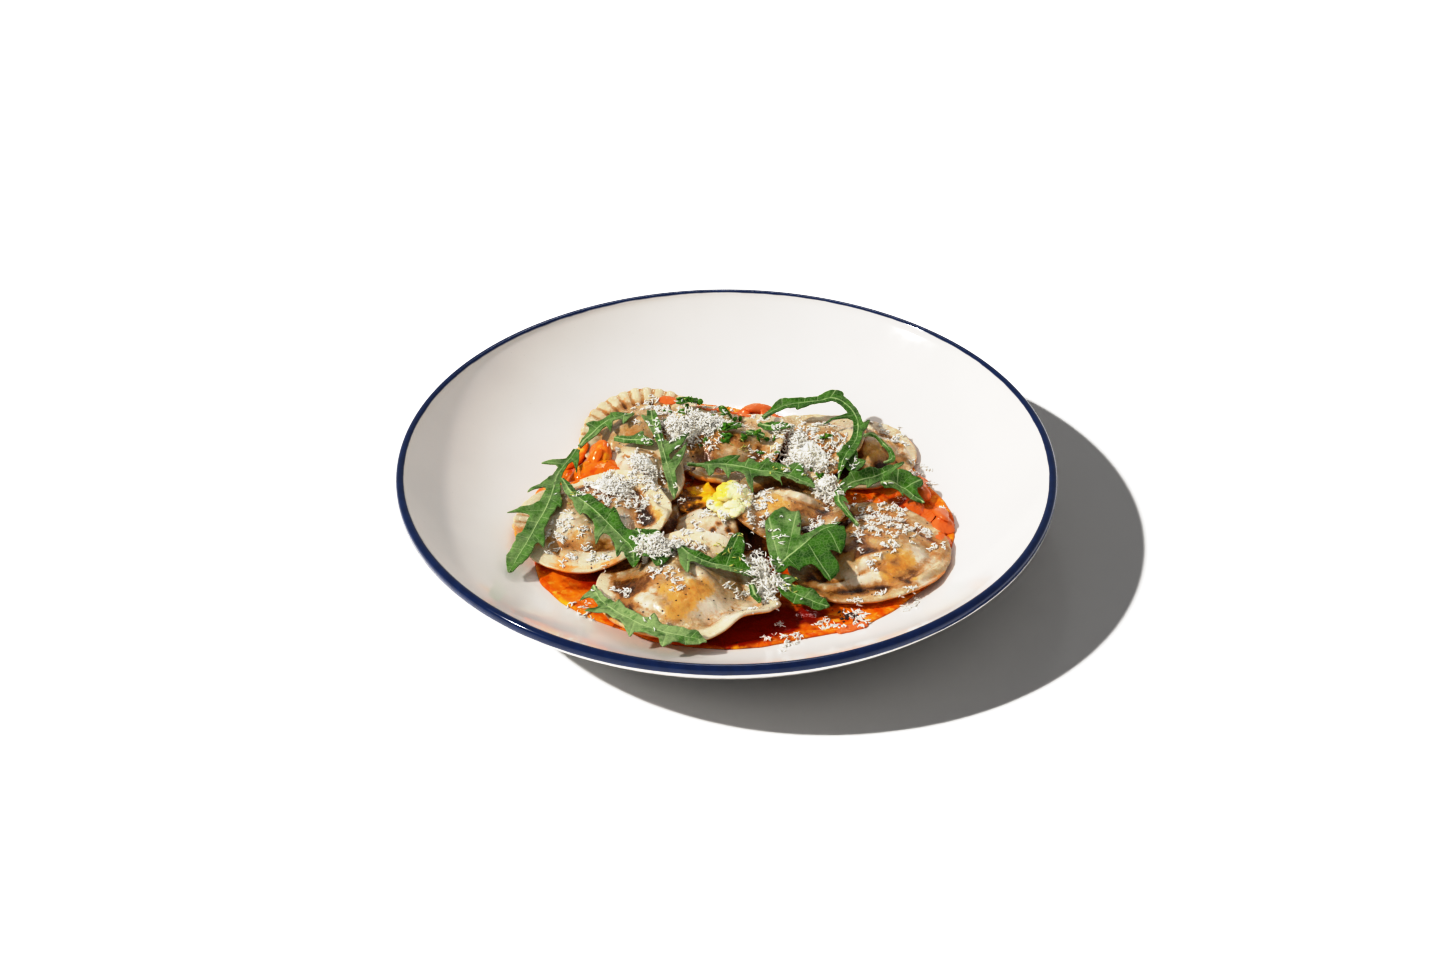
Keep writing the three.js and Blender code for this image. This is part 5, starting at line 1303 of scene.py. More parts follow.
def ravioli_piece(node, number, look):
    """A raviolo on its own solid's heights: lumps of filling, a pleated crease, folds and flutes."""
    top, under, cover = cast_of(node, look.ease / MM, trim=1.0)
    low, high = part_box(node)
    middle = ((low.x + high.x) / 2 / MM, (low.y + high.y) / 2 / MM)
    outline = outline_of(cover, middle)
    seed = 40 * (number + 1)
    stored = {}

    def surface(x, y, turn, edge):
        """Height of the upper face before its lip is rounded."""
        inner = smooth((edge - 5.5) / 4.5)
        relief = look.lump_height / MM * inner * crags(x, y, 6.5, 3, seed)
        relief += GRAIN_HEIGHT * crags(x, y, 2.2, 2, seed + 7)
        crease = past_crease(x, y, edge, seed)
        relief -= CREASE_DEPTH * np.exp(-((crease / 1.5) ** 2))
        pleat = np.sin(9 * turn + 3 * lumps(x, y, 14, seed + 5))
        relief += PLEAT_HEIGHT * (pleat * np.exp(-(((crease - 1.6) / 2.6) ** 2)))
        relief += RIM_UNEVEN * lumps(x, y, 7, seed + 9) * (1 - inner)
        relief += fluting(node, x, y, edge)
        for line, half, height in FOLDS.get(node, []):
            away, along = from_line(x, y, line)
            ends = 0.25 + 0.75 * (smooth(along / 0.2) * smooth((1 - along) / 0.2))
            wander = half * (1 + 0.25 * lumps(x, y, 5, seed + 11))
            relief += 0.85 * ends * height * np.exp(-((away / wander) ** 3))
            relief -= ends * 0.25 * height * np.exp(-(((away - 1.5 * wander) / (0.6 * half)) ** 2))
        return top.at(x, y) + relief

    def place(turn, share, is_upper):
        eased = 1 - (1 - share) ** 1.35
        lift, draw = lifting(node, turn, eased)
        reach = outline(turn) - draw
        wobble = 0.35 * lumps(20 * np.cos(turn), 20 * np.sin(turn), 5, seed + 1)
        wobble = wobble + 0.25 * fluting(node, *around(middle, reach, turn), 0 * turn)
        distance = (reach + wobble * smooth((share - 0.7) / 0.3)) * eased
        x, y = around(middle, distance, turn)
        edge = reach * (1 - eased)
        gap = np.maximum(under.at(x, y) - plate.at(x, y) - SETTLED_GAP, 0)
        lift = lift - settling(node, turn, eased) * gap
        over, below = surface(x, y, turn, edge) + lift, under.at(x, y) + lift
        over = np.maximum(over, below + THINNEST_DOUGH)
        half = (over - below) / 2
        round_off = np.sqrt(1 - (1 - np.clip(edge / np.minimum(half, LIP_ROUNDING), 0, 1)) ** 2)
        stored.update(upper=is_upper)
        return x, y, np.where(is_upper, below + half * (1 + round_off), below + half * (1 - round_off))

    obj = round_body(look.spokes, look.rings, place, upper_share=0.8)
    x, y, _ = in_mm(obj)
    distance, turn = seen_from(middle, x, y)
    colour_raviolo(obj, node, seed, outline(turn) - distance, top, stored["upper"])
    return obj


def shade_and_juice_in_gaps(obj, calm):
    """Painted shade with dark juice where a raviolo goes under the next one, found from the eased heights.
    """
    x, y, z = in_mm(obj)
    layer = obj.data.attributes["browned"]
    values = np.empty(len(x), np.float32)
    layer.data.foreach_get("value", values)
    gap = smooth((calm.at(x, y) - z - 0.35) / 1.3) * (0.8 + 0.4 * lumps(x, y, 5, 91))
    layer.data.foreach_set("value", np.clip(values + 0.85 * gap, 0, 1.2).astype(np.float32))


def sauce_piece(look):
    """The sauce: a thin body that lies on the bowl, with pulp in it and oil along its edge."""
    top, _, cover = cast_of("sauce", 1.2)
    middle = (6.0, -6.0)
    outline = outline_of(cover, middle)

    def place(turn, share, is_upper):
        reach = outline(turn)
        ragged = 1.3 * ring_crags(turn, 40, 7, 3, 5)
        eased = 1 - (1 - share) ** 1.25
        distance = (reach + ragged * smooth((share - 0.75) / 0.25)) * eased
        x, y = around(middle, distance, turn)
        edge = np.maximum(reach * (1 - eased), 0)
        wall = bowl_height(np.hypot(x, y))
        deep = np.maximum(top.at(x, y) - wall, 0.4)
        pulp = look.pulp_height / MM * crags(x, y, 6, 4, 3) + 0.25 * crags(x, y, 1.8, 2, 9)
        rounded = np.sqrt(1 - (1 - np.clip(edge / 1.6, 0, 1)) ** 2)
        over = wall + 0.12 + rounded * np.maximum(deep + pulp * smooth(edge / 4), 0.35)
        return x, y, np.where(is_upper, over, wall + 0.1)

    obj = round_body(360, 120, place)
    x, y, _ = in_mm(obj)
    # Char from the browned spots, a few of which are painted shadows.
    note(obj, "browned", 0.75 * spots(x, y, BROWNED_AND_SHADE, 61))
    amber = spots(x, y, AMBER + POOL_OIL, 62)
    distance, turn = seen_from(middle, x, y)
    margin = outline(turn) - distance
    oily = smooth(1 - margin / (3 + 2.5 * crags(x, y, 9, 3, 65))) * smooth(0.5 + crags(x, y, 14, 2, 66))
    note(obj, "amber", np.maximum(amber, 0.7 * oily))
    # Thick dark sauce, and painted shade under the front flap and the left lip.
    note(obj, "deep", spots(x, y, DEEP_SAUCE_AND_SHADE, 63))
    return obj


def spill_piece(calm, number, rough, x, y, half_long, half_wide, turn, height, level=None):
    """A low wet lobe that lies on calm heights, or stands on a level of its own."""
    seed = 300 + 9 * number

    def place(direction, share, is_upper):
        ragged = 1 + (0.12 + 0.5 * rough) * ring_crags(direction, 6, 5, 3, seed)
        along = half_long * share * ragged * np.cos(direction)
        across = half_wide * share * ragged * np.sin(direction)
        px, py = swung((x, y), along, across, turn)
        dome = np.sqrt(np.maximum(1 - share**2.6, 0))
        pulp = 1 + rough * crags(px, py, 3.4, 3, seed + 4)
        base = calm.at(px, py) if level is None else level
        over = base + height * dome * pulp
        return px, py, np.where(is_upper, over, np.minimum(plate.at(px, py), over) - 0.15)

    return round_body(64, 44, place)


def lump_piece(node, seed, rough):
    """A soft lump: its own solid, merged, rounded and roughened."""
    nothing_selected()
    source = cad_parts[node]
    obj = source.copy()
    obj.data = source.data.copy()
    for key in list(obj.keys()):
        del obj[key]
    obj.parent = None
    bpy.context.scene.collection.objects.link(obj)
    obj.select_set(True)
    bpy.context.view_layer.objects.active = obj
    bpy.ops.object.mode_set(mode="EDIT")
    bpy.ops.mesh.select_all(action="SELECT")
    bpy.ops.mesh.remove_doubles(threshold=1e-5)
    bpy.ops.mesh.tris_convert_to_quads()
    bpy.ops.object.mode_set(mode="OBJECT")
    apply_modifier(obj, "SUBSURF", levels=3, render_levels=3)
    x, y, z = in_mm(obj)
    middle = np.array([x.mean(), y.mean(), z.mean()])
    out = np.stack([x, y, z], 1) - middle
    length = np.linalg.norm(out, axis=1)
    push = 0.06 * length + rough * crags(x, y, 3.4, 4, seed, z)
    moved = middle + out * (1 + push / np.maximum(length, 0.5))[:, None]
    set_places(obj, *moved.T)
    note(obj, "browned", np.zeros(len(x)))
    note(obj, "amber", spots(x, y, SPILL_YELLOW, seed))
    note(obj, "deep", spots(x, y, SPILL_DEEP, seed + 1))
    return obj


def midrib(route, count):
    """Evenly spaced points and headings on a smooth line through a route."""
    points = np.array(route, float)
    first, last = 2 * points[0] - points[1], 2 * points[-1] - points[-2]
    knots = np.vstack([first, points, last])
    line = []
    for a, b, c, d in zip(knots[:-3], knots[1:-2], knots[2:-1], knots[3:]):
        gaps = [max(np.linalg.norm(q - p) ** 0.5, 1e-4) for p, q in ((a, b), (b, c), (c, d))]
        t0, t1, t2, t3 = 0, gaps[0], gaps[0] + gaps[1], sum(gaps)
        start = ((b - a) / (t1 - t0) - (c - a) / (t2 - t0) + (c - b) / (t2 - t1)) * (t2 - t1)
        end = ((c - b) / (t2 - t1) - (d - b) / (t3 - t1) + (d - c) / (t3 - t2)) * (t2 - t1)
        for t in np.linspace(0, 1, 24, endpoint=False):
            line.append(
                (2 * t**3 - 3 * t**2 + 1) * b + (t**3 - 2 * t**2 + t) * start
                + (3 * t**2 - 2 * t**3) * c + (t**3 - t**2) * end
            )
    line = np.array(line + [points[-1]])
    run = np.concatenate([[0], np.cumsum(np.linalg.norm(np.diff(line, axis=0), axis=1))])
    wanted = np.linspace(0, run[-1], count)
    even = np.stack([np.interp(wanted, run, line[:, k]) for k in range(3)], 1)
    ahead = np.gradient(even[:, :2], axis=0)
    kernel = np.ones(5) / 5
    ahead = np.stack([np.convolve(np.pad(ahead[:, k], 2, "edge"), kernel, "valid") for k in (0, 1)], 1)
    ahead /= np.linalg.norm(ahead, axis=1, keepdims=True)
    return even, ahead, run[-1]


def leaf_edge(spec, length, share, side, seed):
    """Half width of a leaf on one side, its lean to the tip, and the offset to the nearest lobe."""
    if "edges" in spec:
        at, out, ahead = np.array(spec["edges"][side], float).T
        half = np.maximum(np.interp(share, at, out), 0.12)
        lean = np.interp(share, at, ahead) / half
        half = half + 0.2 * lumps(share * length, side * 9, 1.6, seed)
        offsets = np.stack([(share - vein) * length for vein in spec["veins"][side]])
        nearest = np.abs(offsets).argmin(0)
        return half, lean, np.take_along_axis(offsets, nearest[None], 0)[0]
    place = share * (len(spec["blade"]) - 1)
    step = np.minimum(place.astype(int), len(spec["blade"]) - 2)
    blade = np.array(spec["blade"], float)
    body = blade[step] + (blade[step + 1] - blade[step]) * smooth(place - step)
    half = SLIMMED * body * np.sqrt(np.clip((1 - share) / 0.12, 0.02, 1))
    lean = np.full_like(share, 0.3)
    offset = np.full_like(share, 9.0)
    for at, on, reach, wide, forward in spec["lobes"]:
        if on != side:
            continue
        along = (share - at) * length
        finger = np.clip(1 - np.abs(along / (1.1 * wide)) ** 2, 0, 1) ** 0.8
        bump = 0.5 * finger + 0.5 * np.clip(1 - np.abs(along / (2.2 * wide)), 0, 1) ** 1.2
        half = half + reach * bump
        lean = lean + (forward - lean) * np.maximum(bump, finger)
        offset = np.where(np.abs(along) < np.abs(offset), along, offset)
    teeth = 0.32 * lumps(share * length, side * 9, 2.3, seed)
    teeth = teeth + 0.08 * lumps(share * length, side * 5, 0.8, seed)
    half = half + teeth * smooth((half - 1.2) / 3)
    between = ((share * length + 1.5 * side) % 5.2) - 2.6
    offset = np.where(np.abs(offset) < 5, offset, between)
    return np.maximum(half, 0.12), lean, offset


def leaf_piece(node, spec, number, thickness):
    """A thin wavy leaf with a raised midrib, laid on its own solid's heights."""
    surface = cast_of(node, THIN_EASE)[0]
    length = midrib(spec["route"], 50)[2]
    rows, columns = max(24, int(length / 0.3)), 20
    middle, ahead, length = midrib(spec["route"], rows + 1)
    stored = {}

    def place(share, across):
        row = np.rint(share * rows).astype(int)
        side = np.where(across >= 0, 1, -1)
        left_edge = leaf_edge(spec, length, share, 1, number)
        right_edge = leaf_edge(spec, length, share, -1, number)
        half, lean, offset = (np.where(side > 0, a, b) for a, b in zip(left_edge, right_edge))
        out = np.abs(across) ** 1.15
        left = np.stack([-ahead[row, 1], ahead[row, 0]], 1)
        x = middle[row, 0] + left[:, 0] * side * half * out + ahead[row, 0] * lean * half * out
        y = middle[row, 1] + left[:, 1] * side * half * out + ahead[row, 1] * lean * half * out
        lift = 0.75 * lumps(x, y, 5.5, 90 + number) * out + 0.3 * lumps(x, y, 2.6, number) * out
        across_mm = np.minimum(half * out, 5)
        lift += 0.26 * across_mm - 0.028 * across_mm**2 + 0.12 * lumps(x, y, 1.3, number)
        z = surface.at(x, y) - 0.3 + lift
        z -= 0.22 * np.exp(-((offset / 0.5) ** 2)) * smooth(out * 4)
        ground = plate.at(x, y) + 0.25 + thickness / 2
        need = np.maximum(ground - z, 0)
        order = np.lexsort((across, share))
        table = need[order].reshape(rows + 1, -1)
        padded = np.pad(table, 2, "edge")
        eased = sum(
            padded[a : a + table.shape[0], b : b + table.shape[1]] for a in range(5) for b in range(5)
        ) / 25
        lifted = np.empty_like(need)
        lifted[order] = np.maximum(table, eased).ravel()
        stored.update(rib=side * half * out, side_vein=offset, share=share)
        return x, y, z + lifted

    obj = sheet(rows, columns, place)
    rib, share = stored["rib"], stored["share"]
    note(obj, "rib", rib / (0.5 + 1.4 * (1 - share)))
    note(obj, "side_vein", stored["side_vein"])
    # Painted light and shade: one half of the leaf paler, the other deeper green, as light falls on its
    # fold, mixed with the leaf's own green.
    left_light_and_tone, right_light_and_tone = spec["tone"]
    note(obj, "tone", right_light_and_tone + (left_light_and_tone - right_light_and_tone) * smooth(0.5 + rib))
    group = obj.vertex_groups.new(name="thickness")
    raised = (MIDRIB_THICKNESS - thickness) * (1 - 0.75 * share) * np.exp(-((rib / 0.6) ** 2))
    for index, weight in enumerate((thickness + raised) / MIDRIB_THICKNESS):
        group.add([index], float(weight), "REPLACE")
    apply_modifier(
        obj, "SOLIDIFY", thickness=MIDRIB_THICKNESS * MM, offset=0.0,
        vertex_group="thickness", use_even_offset=False,
    )
    obj.vertex_groups.clear()
    return obj


def herb_spec(node):
    """The route of a torn scrap of herb, from the length of its own solid."""
    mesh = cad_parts[node].data
    points = np.array([v.co for v in mesh.vertices]) / MM
    centre = points.mean(0)
    _, _, axes = np.linalg.svd(points - centre, full_matrices=False)
    along = (points - centre) @ axes[0]
    wide = np.ptp((points - centre) @ axes[1]) / 2
    ends = [centre + axes[0] * t for t in np.linspace(along.min(), along.max(), 4)]
    blade = [0.7 * wide, wide, 0.9 * wide, 0.5 * wide]
    return dict(route=[tuple(p) for p in ends], blade=blade, lobes=[], tone=(0, 0))


def shreds_at(rng, x, y, z, look, tilt, curl):
    """Curled shreds of grated cheese at given places."""
    size = (look.shred_length / MM, look.shred_width / MM, look.shred_thickness / MM)
    return one_mesh(*curls(rng, x, y, z, *size, tilt, curl))


def drift_piece(node, number, look):
    """A heap of grated cheese: curled shreds that cling together in tufts over a pressed core."""
    middle, half_long, half_wide, turn, count, heaped = DRIFTS[node]
    top = cast_of(node, THIN_EASE)[0]
    rng = np.random.default_rng(700 + number)
    drawn = 2 * int(TUFTS_PER_COUNT * count)
    radius = np.sqrt(rng.random(drawn))
    radius = radius * (1 + 0.4 * rng.normal(0, 1, drawn) ** 2 * (rng.random(drawn) < 0.45))
    angle = rng.uniform(0, 2 * np.pi, drawn)
    along, across = half_long * radius * np.cos(angle), half_wide * radius * np.sin(angle)
    tuft_x, tuft_y = swung(middle, along, across, turn)
    thick = crags(tuft_x, tuft_y, 5, 2, 710 + number) + 0.3 * rng.random(drawn)
    chosen = np.sort(np.argsort(-thick)[: drawn // 2])
    radius, tuft_x, tuft_y = radius[chosen], tuft_x[chosen], tuft_y[chosen]
    tufts = len(chosen)
    count = tufts * TUFT
    tuft_lift = rng.uniform(0.05, 0.75, tufts)
    spread = rng.uniform(0.6, 2.2, tufts)
    of = np.repeat(np.arange(tufts), TUFT)
    x = tuft_x[of] + spread[of] * rng.normal(0, 1, count)
    y = tuft_y[of] + spread[of] * rng.normal(0, 1, count)
    ground = plate.at(x, y)
    room = heaped * np.maximum(top.at(x, y) - ground, 0.3) * np.clip(1.2 - radius[of] ** 2, 0.1, 1)
    z = ground + 0.2 + room * (tuft_lift[of] + rng.uniform(0, 0.4, count))
    shreds = shreds_at(rng, x, y, z, look, tilt=0.5, curl=1.5)

    def pressed(direction, share, is_upper):
        ragged = 1 + 0.25 * ring_crags(direction, 9, 5, 2, 720 + number)
        along = 0.74 * half_long * share * ragged * np.cos(direction)
        across = 0.74 * half_wide * share * ragged * np.sin(direction)
        px, py = swung(middle, along, across, turn)
        ground = plate.at(px, py)
        room = heaped * np.maximum(top.at(px, py) - ground, 0.3)
        crumbly = 1 + 0.4 * crags(px, py, 1.6, 2, 730 + number)
        pile = 0.55 * room * np.sqrt(np.maximum(1 - share**2, 0)) * crumbly
        return px, py, np.where(is_upper, ground + 0.1 + pile, ground - 0.1)

    return as_one([shreds, round_body(96, 48, pressed)])


def curd_crumbs():
    """The knob of curd: soft crumbs pressed together inside its own solid."""
    low, high = (Vector(corner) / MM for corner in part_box("curd"))
    middle = (low + high) / 2
    rng = np.random.default_rng(5)
    crumbs = []
    for number in range(CURD_CRUMBS):
        reach, angle = math.sqrt(rng.random()), rng.uniform(0, 2 * math.pi)
        x = middle.x - 1.6 + 0.56 * (high.x - low.x) * reach * math.cos(angle)
        y = middle.y + 1.6 + 0.48 * (high.y - low.y) * reach * math.sin(angle)
        size = rng.uniform(1.5, 3.8) * (1.1 - 0.3 * reach)
        z = plate.at(np.array(x), np.array(y)) + 0.3 * size + (1 - reach) * 1.6 * rng.random()
        nothing_selected()
        bpy.ops.mesh.primitive_ico_sphere_add(subdivisions=4, radius=1)
        obj = bpy.context.object
        px, py, pz = places_of(obj).T
        swell = size * (1 + 0.24 * crags(px, py, 0.8, 3, 50 + number, pz))
        flat = rng.uniform(0.5, 0.75)
        long, spin = rng.uniform(1, 1.7), math.degrees(rng.uniform(0, math.pi))
        px, py = swung((x, y), long * px * swell, py * swell, spin)
        set_places(obj, px, py, z + pz * swell * flat)
        crumbs.append(obj)
    curd = as_one(crumbs)
    x, y, _ = in_mm(curd)
    note(curd, "amber", spots(x, y, YOLK, 81))
    return curd


def butter_pool():
    """Browned butter that has run together between the ravioli in the middle."""
    outline = np.array(BUTTER_POOL, float)
    middle = outline.mean(0)
    reaches, turns = seen_from(middle, *outline.T)
    order = np.argsort(turns)
    calm = calm_plate(3.4)

    def place(turn, share, is_upper):
        reach = np.interp(turn, turns[order], reaches[order], period=2 * np.pi)
        ragged = 1 + 0.14 * ring_crags(turn, 8, 4, 3, 83)
        x, y = around(middle, reach * ragged * share, turn)
        film = 0.9 * np.sqrt(np.maximum(1 - share**3, 0)) * (1 + 0.35 * crags(x, y, 3, 3, 84))
        ground, level = plate.at(x, y), calm.at(x, y)
        over = level + film + np.maximum(ground - level, 0) * 0.5
        return x, y, np.where(is_upper, over, np.minimum(ground, over) - 0.15)

    pool = round_body(160, 90, place)
    x, y, _ = in_mm(pool)
    note(pool, "browned", spots(x, y, BURNT_RIM, 85))
    note(pool, "amber", spots(x, y, BUTTER_YELLOW, 86))
    return pool


# ---------------------------------------------------------------- what a user may change
def length(name, default, description):
    return FloatProperty(
        name=name, description=description, default=default, min=0, unit="LENGTH", precision=5
    )


def colour(name, default, description):
    return FloatVectorProperty(
        name=name, description=description, default=default, subtype="COLOR", size=3, min=0, max=1
    )


class BowlLook(bpy.types.PropertyGroup):
    """Sizes and colours of the bowl."""

    rim_radius: length("Rim radius", BOWL_SIZE.x, "Outside radius of the rim")
    wall: length("Wall", 0.004, "Thickness of the wall")
    band_reach: length("Band width inside", 0.0033, "How far the painted band reaches in from the rim")
    band_drop: length("Band drop outside", 0.0034, "How far the painted band reaches down outside")
    brush_wobble: length("Brush wobble", 0.0004, "How unevenly the band was painted")
    sides: IntProperty(name="Sides", description="Sides of the turned bowl", default=224, min=16)
    glaze: colour("Glaze", (0.81, 0.785, 0.755), "Off-white of the glaze")
    band: colour("Band", (0.005, 0.018, 0.072), "Dark blue of the painted band")


class FoodLook(bpy.types.PropertyGroup):
    """Sizes and colours of the food."""

    ease: length("Softness", 0.0016, "How far the edges of the solids are eased")
    lump_height: length("Filling lumps", 0.00075, "Height of the lumps of filling under the dough")
    pulp_height: length("Pulp", 0.0008, "Height of the pulp in the sauce")
    spokes: IntProperty(name="Spokes", description="Points round each raviolo", default=224, min=32)
    rings: IntProperty(name="Rings", description="Rings of points on each raviolo", default=72, min=16)
    dough: colour("Dough", (0.75, 0.65, 0.46), "Cream of the cooked dough")
    filling: colour("Filling", (0.43, 0.295, 0.13), "Where the filling shows through")
    milk: colour("Milky film", (0.77, 0.72, 0.62), "Pale film of starch and melted cheese")
    # Light, thick and darkest browned butter; on the dough these also paint the shade in hollows, creases
    # and gaps.
    tan: colour("Light butter", (0.45, 0.225, 0.06), "Thin browned butter")
    brown: colour("Browned butter", (0.19, 0.066, 0.011), "Thick browned butter")
    burnt: colour("Burnt butter", (0.045, 0.013, 0.004), "Darkest of the butter")
    butter: colour("Amber butter", (0.60, 0.26, 0.03), "Clear amber butter")
    honey: colour("Honey butter", (0.64, 0.37, 0.085), "Thin amber butter on the dough")
    yellow: colour("Yellow butter", (0.95, 0.62, 0.03), "Butter yellow as yolk")
    juice: colour("Tomato juice", (0.82, 0.33, 0.05), "Tomato juice on the dough")
    sauce: colour("Sauce", (0.87, 0.27, 0.014), "Orange of the sauce")
    flesh: colour("Tomato flesh", (0.87, 0.20, 0.005), "Orange-red of peeled tomato")
    sauce_deep: colour("Deep sauce", (0.70, 0.11, 0.002), "Red of the thick sauce")
    sauce_pale: colour("Pale sauce", (0.91, 0.43, 0.05), "Where cream has mixed in")
    # Dark red of thick sauce, also painted as shade under the ravioli's rims.
    dark_sauce_and_shade: colour("Dark sauce", (0.30, 0.012, 0.001), "Thick dark red sauce")
    oil: colour("Oil", (0.88, 0.44, 0.015), "Yellow oil")
    char: colour("Char", (0.05, 0.012, 0.004), "Charred bits")
    leaf: colour("Leaf", (0.072, 0.205, 0.015), "Green of the leaves")
    # Darkest green: the leaves' own deep green, also painted as shade on shaded halves.
    leaf_deep_and_shade: colour("Deep leaf", (0.022, 0.095, 0.004), "Darkest green")
    # Palest green: painted light on lit leaf halves, with some of the leaves' own paleness.
    leaf_pale_and_lit: colour("Pale leaf", (0.31, 0.41, 0.18), "Palest green")
    vein: colour("Vein", (0.47, 0.57, 0.29), "Midribs and veins")
    herb: colour("Herb", (0.08, 0.27, 0.012), "Chopped herb")
    curd: colour("Curd", (0.93, 0.83, 0.50), "Soft curd")
    curd_yolk: colour("Curd yellow", (0.93, 0.70, 0.09), "Butter run into the curd")
    pepper: colour("Pepper", (0.02, 0.013, 0.009), "Ground pepper")
    crumb: colour("Crumb", (0.06, 0.03, 0.025), "Dark crumbs")


class CheeseLook(bpy.types.PropertyGroup):
    """Sizes and colours of the grated cheese."""

    shred_length: length("Shred length", 0.0025, "Length of a shred")
    shred_width: length("Shred width", 0.00058, "Width of a shred")
    shred_thickness: length("Shred thickness", 0.00035, "Thickness of a shred")
    cheese: colour("Cheese", (0.965, 0.945, 0.875), "Lightest cheese")
    cheese_shade: colour("Cheese shade", (0.94, 0.895, 0.80), "Darker cheese")
    zest: colour("Zest", (0.62, 0.60, 0.16), "Pale green zest")


class StageLook(bpy.types.PropertyGroup):
    """Camera and light."""

    lens: FloatProperty(name="Lens", description="Focal length in millimetres", default=58.875, min=1)
    distance: length("Distance", 0.9, "From the camera to the food")
    elevation: FloatProperty(
        name="Elevation", description="Camera above the horizon", default=math.radians(35.37),
        unit="ROTATION",
    )
    sun: FloatProperty(name="Sun", description="Strength of the main light", default=2.85, min=0)
    floor_sun: FloatProperty(
        name="Floor sun", description="Further main light that falls on the floor alone", default=18, min=0
    )
    fill: FloatProperty(name="Fill", description="Strength of the light all round", default=0.6, min=0)
    back: FloatProperty(name="Back light", description="Power of the light behind", default=1.2, min=0)
    floor: colour("Floor", (0.37, 0.37, 0.37), "Floor")


# ---------------------------------------------------------------- operators
def add_lamp(kind, name, toward, distance, energy):
    """A lamp at a distance in one direction, which shines back at the food."""
    bpy.ops.object.light_add(type=kind, location=toward * distance)
    lamp = bpy.context.object
    lamp.name = name
    lamp.rotation_euler = toward.to_track_quat("Z", "Y").to_euler()
    lamp.data.energy = energy
    return lamp


def show_tones(view):
    """Sets how light from the scene is shown."""
    view.view_transform = "Standard"
    view.use_curve_mapping = True
    curve = view.curve_mapping
    brightest = TONE_CURVE[-1][0]
    curve.white_level = (brightest, brightest, brightest)
    line = curve.curves[3]
    line.points[0].location = TONE_CURVE[0]
    line.points[1].location = (1, 1)
    for light, shown in TONE_CURVE[1:-1]:
        line.points.new(light / brightest, shown)
    curve.update()


class RAVIOLI_OT_stage(bpy.types.Operator):
    """Camera, floor and light"""

    bl_idname = "ravioli.stage"
    bl_label = "Stage"

    def execute(self, context):
        look = context.scene.ravioli_stage
        nothing_selected()
        back = Vector((0, -math.cos(look.elevation), math.sin(look.elevation)))
        bpy.ops.object.camera_add(location=CAMERA_TARGET + look.distance * back)
        camera = context.object
        camera.rotation_euler = (math.pi / 2 - look.elevation, 0, 0)
        camera.data.lens = look.lens
        camera.data.clip_start, camera.data.clip_end = 0.01, 20
        context.scene.camera = camera
        nothing_selected()
        bpy.ops.mesh.primitive_plane_add(size=FLOOR_SIZE, location=(0, 0, 0))
        floor = context.object
        floor.name = floor.data.name = "floor"
        floor.data.materials.append(floor_finish(look))
        only_floor = bpy.data.collections.new("floor light")
        only_floor.objects.link(floor)
        for name, energy in (("key", look.sun), ("floor key", look.floor_sun)):
            lamp = add_lamp("SUN", name, TOWARD_SUN, 2, energy)
            lamp.data.angle = SUN_WIDTH
            lamp.data.color = LAMP_COLOUR
        # The last of them shines on the floor alone.
        lamp.light_linking.receiver_collection = only_floor
        lamp = add_lamp("AREA", "back light", TOWARD_BACK_LIGHT, 1.3, look.back)
        lamp.data.size = BACK_LIGHT_SIZE
        world = bpy.data.worlds.new("studio")
        context.scene.world = world
        world.use_nodes = True
        background = world.node_tree.nodes["Background"]
        background.inputs["Color"].default_value = WORLD_COLOUR
        background.inputs["Strength"].default_value = look.fill
        show_tones(context.scene.view_settings)
        return {"FINISHED"}


class RAVIOLI_OT_bowl(bpy.types.Operator):
    """The glazed coupe bowl with its painted rim"""

    bl_idname = "ravioli.bowl"
    bl_label = "Bowl"

    def execute(self, context):
        look = context.scene.ravioli_bowl
        finished(turned_bowl(look), "coupe_bowl", glaze_finish(look), ["bowl"])
        return {"FINISHED"}


class RAVIOLI_OT_sauce(bpy.types.Operator):
    """The tomato sauce that everything else lies in"""

    bl_idname = "ravioli.sauce"
    bl_label = "Sauce"

    def execute(self, context):
        look = context.scene.ravioli_food
        raise_plate(finished(sauce_piece(look), "tomato_sauce", sauce_finish(look), ["sauce"]))
        return {"FINISHED"}


class RAVIOLI_OT_pasta(bpy.types.Operator):
    """The ravioli, one on another"""

    bl_idname = "ravioli.pasta"
    bl_label = "Ravioli"

    def execute(self, context):
        look = context.scene.ravioli_food
        dough = pasta_finish(look)
        names = named("ravioli_")
        if not names:
            raise RuntimeError("the frame holds no ravioli")
        made = []
        for number, node in enumerate(names):
            obj = ravioli_piece(node, number, look)
            made.append(finished(obj, "filled_" + node, dough, [node]))
            raise_plate(obj)
        calm = calm_plate(1.8)
        for obj in made:
            shade_and_juice_in_gaps(obj, calm)
        return {"FINISHED"}


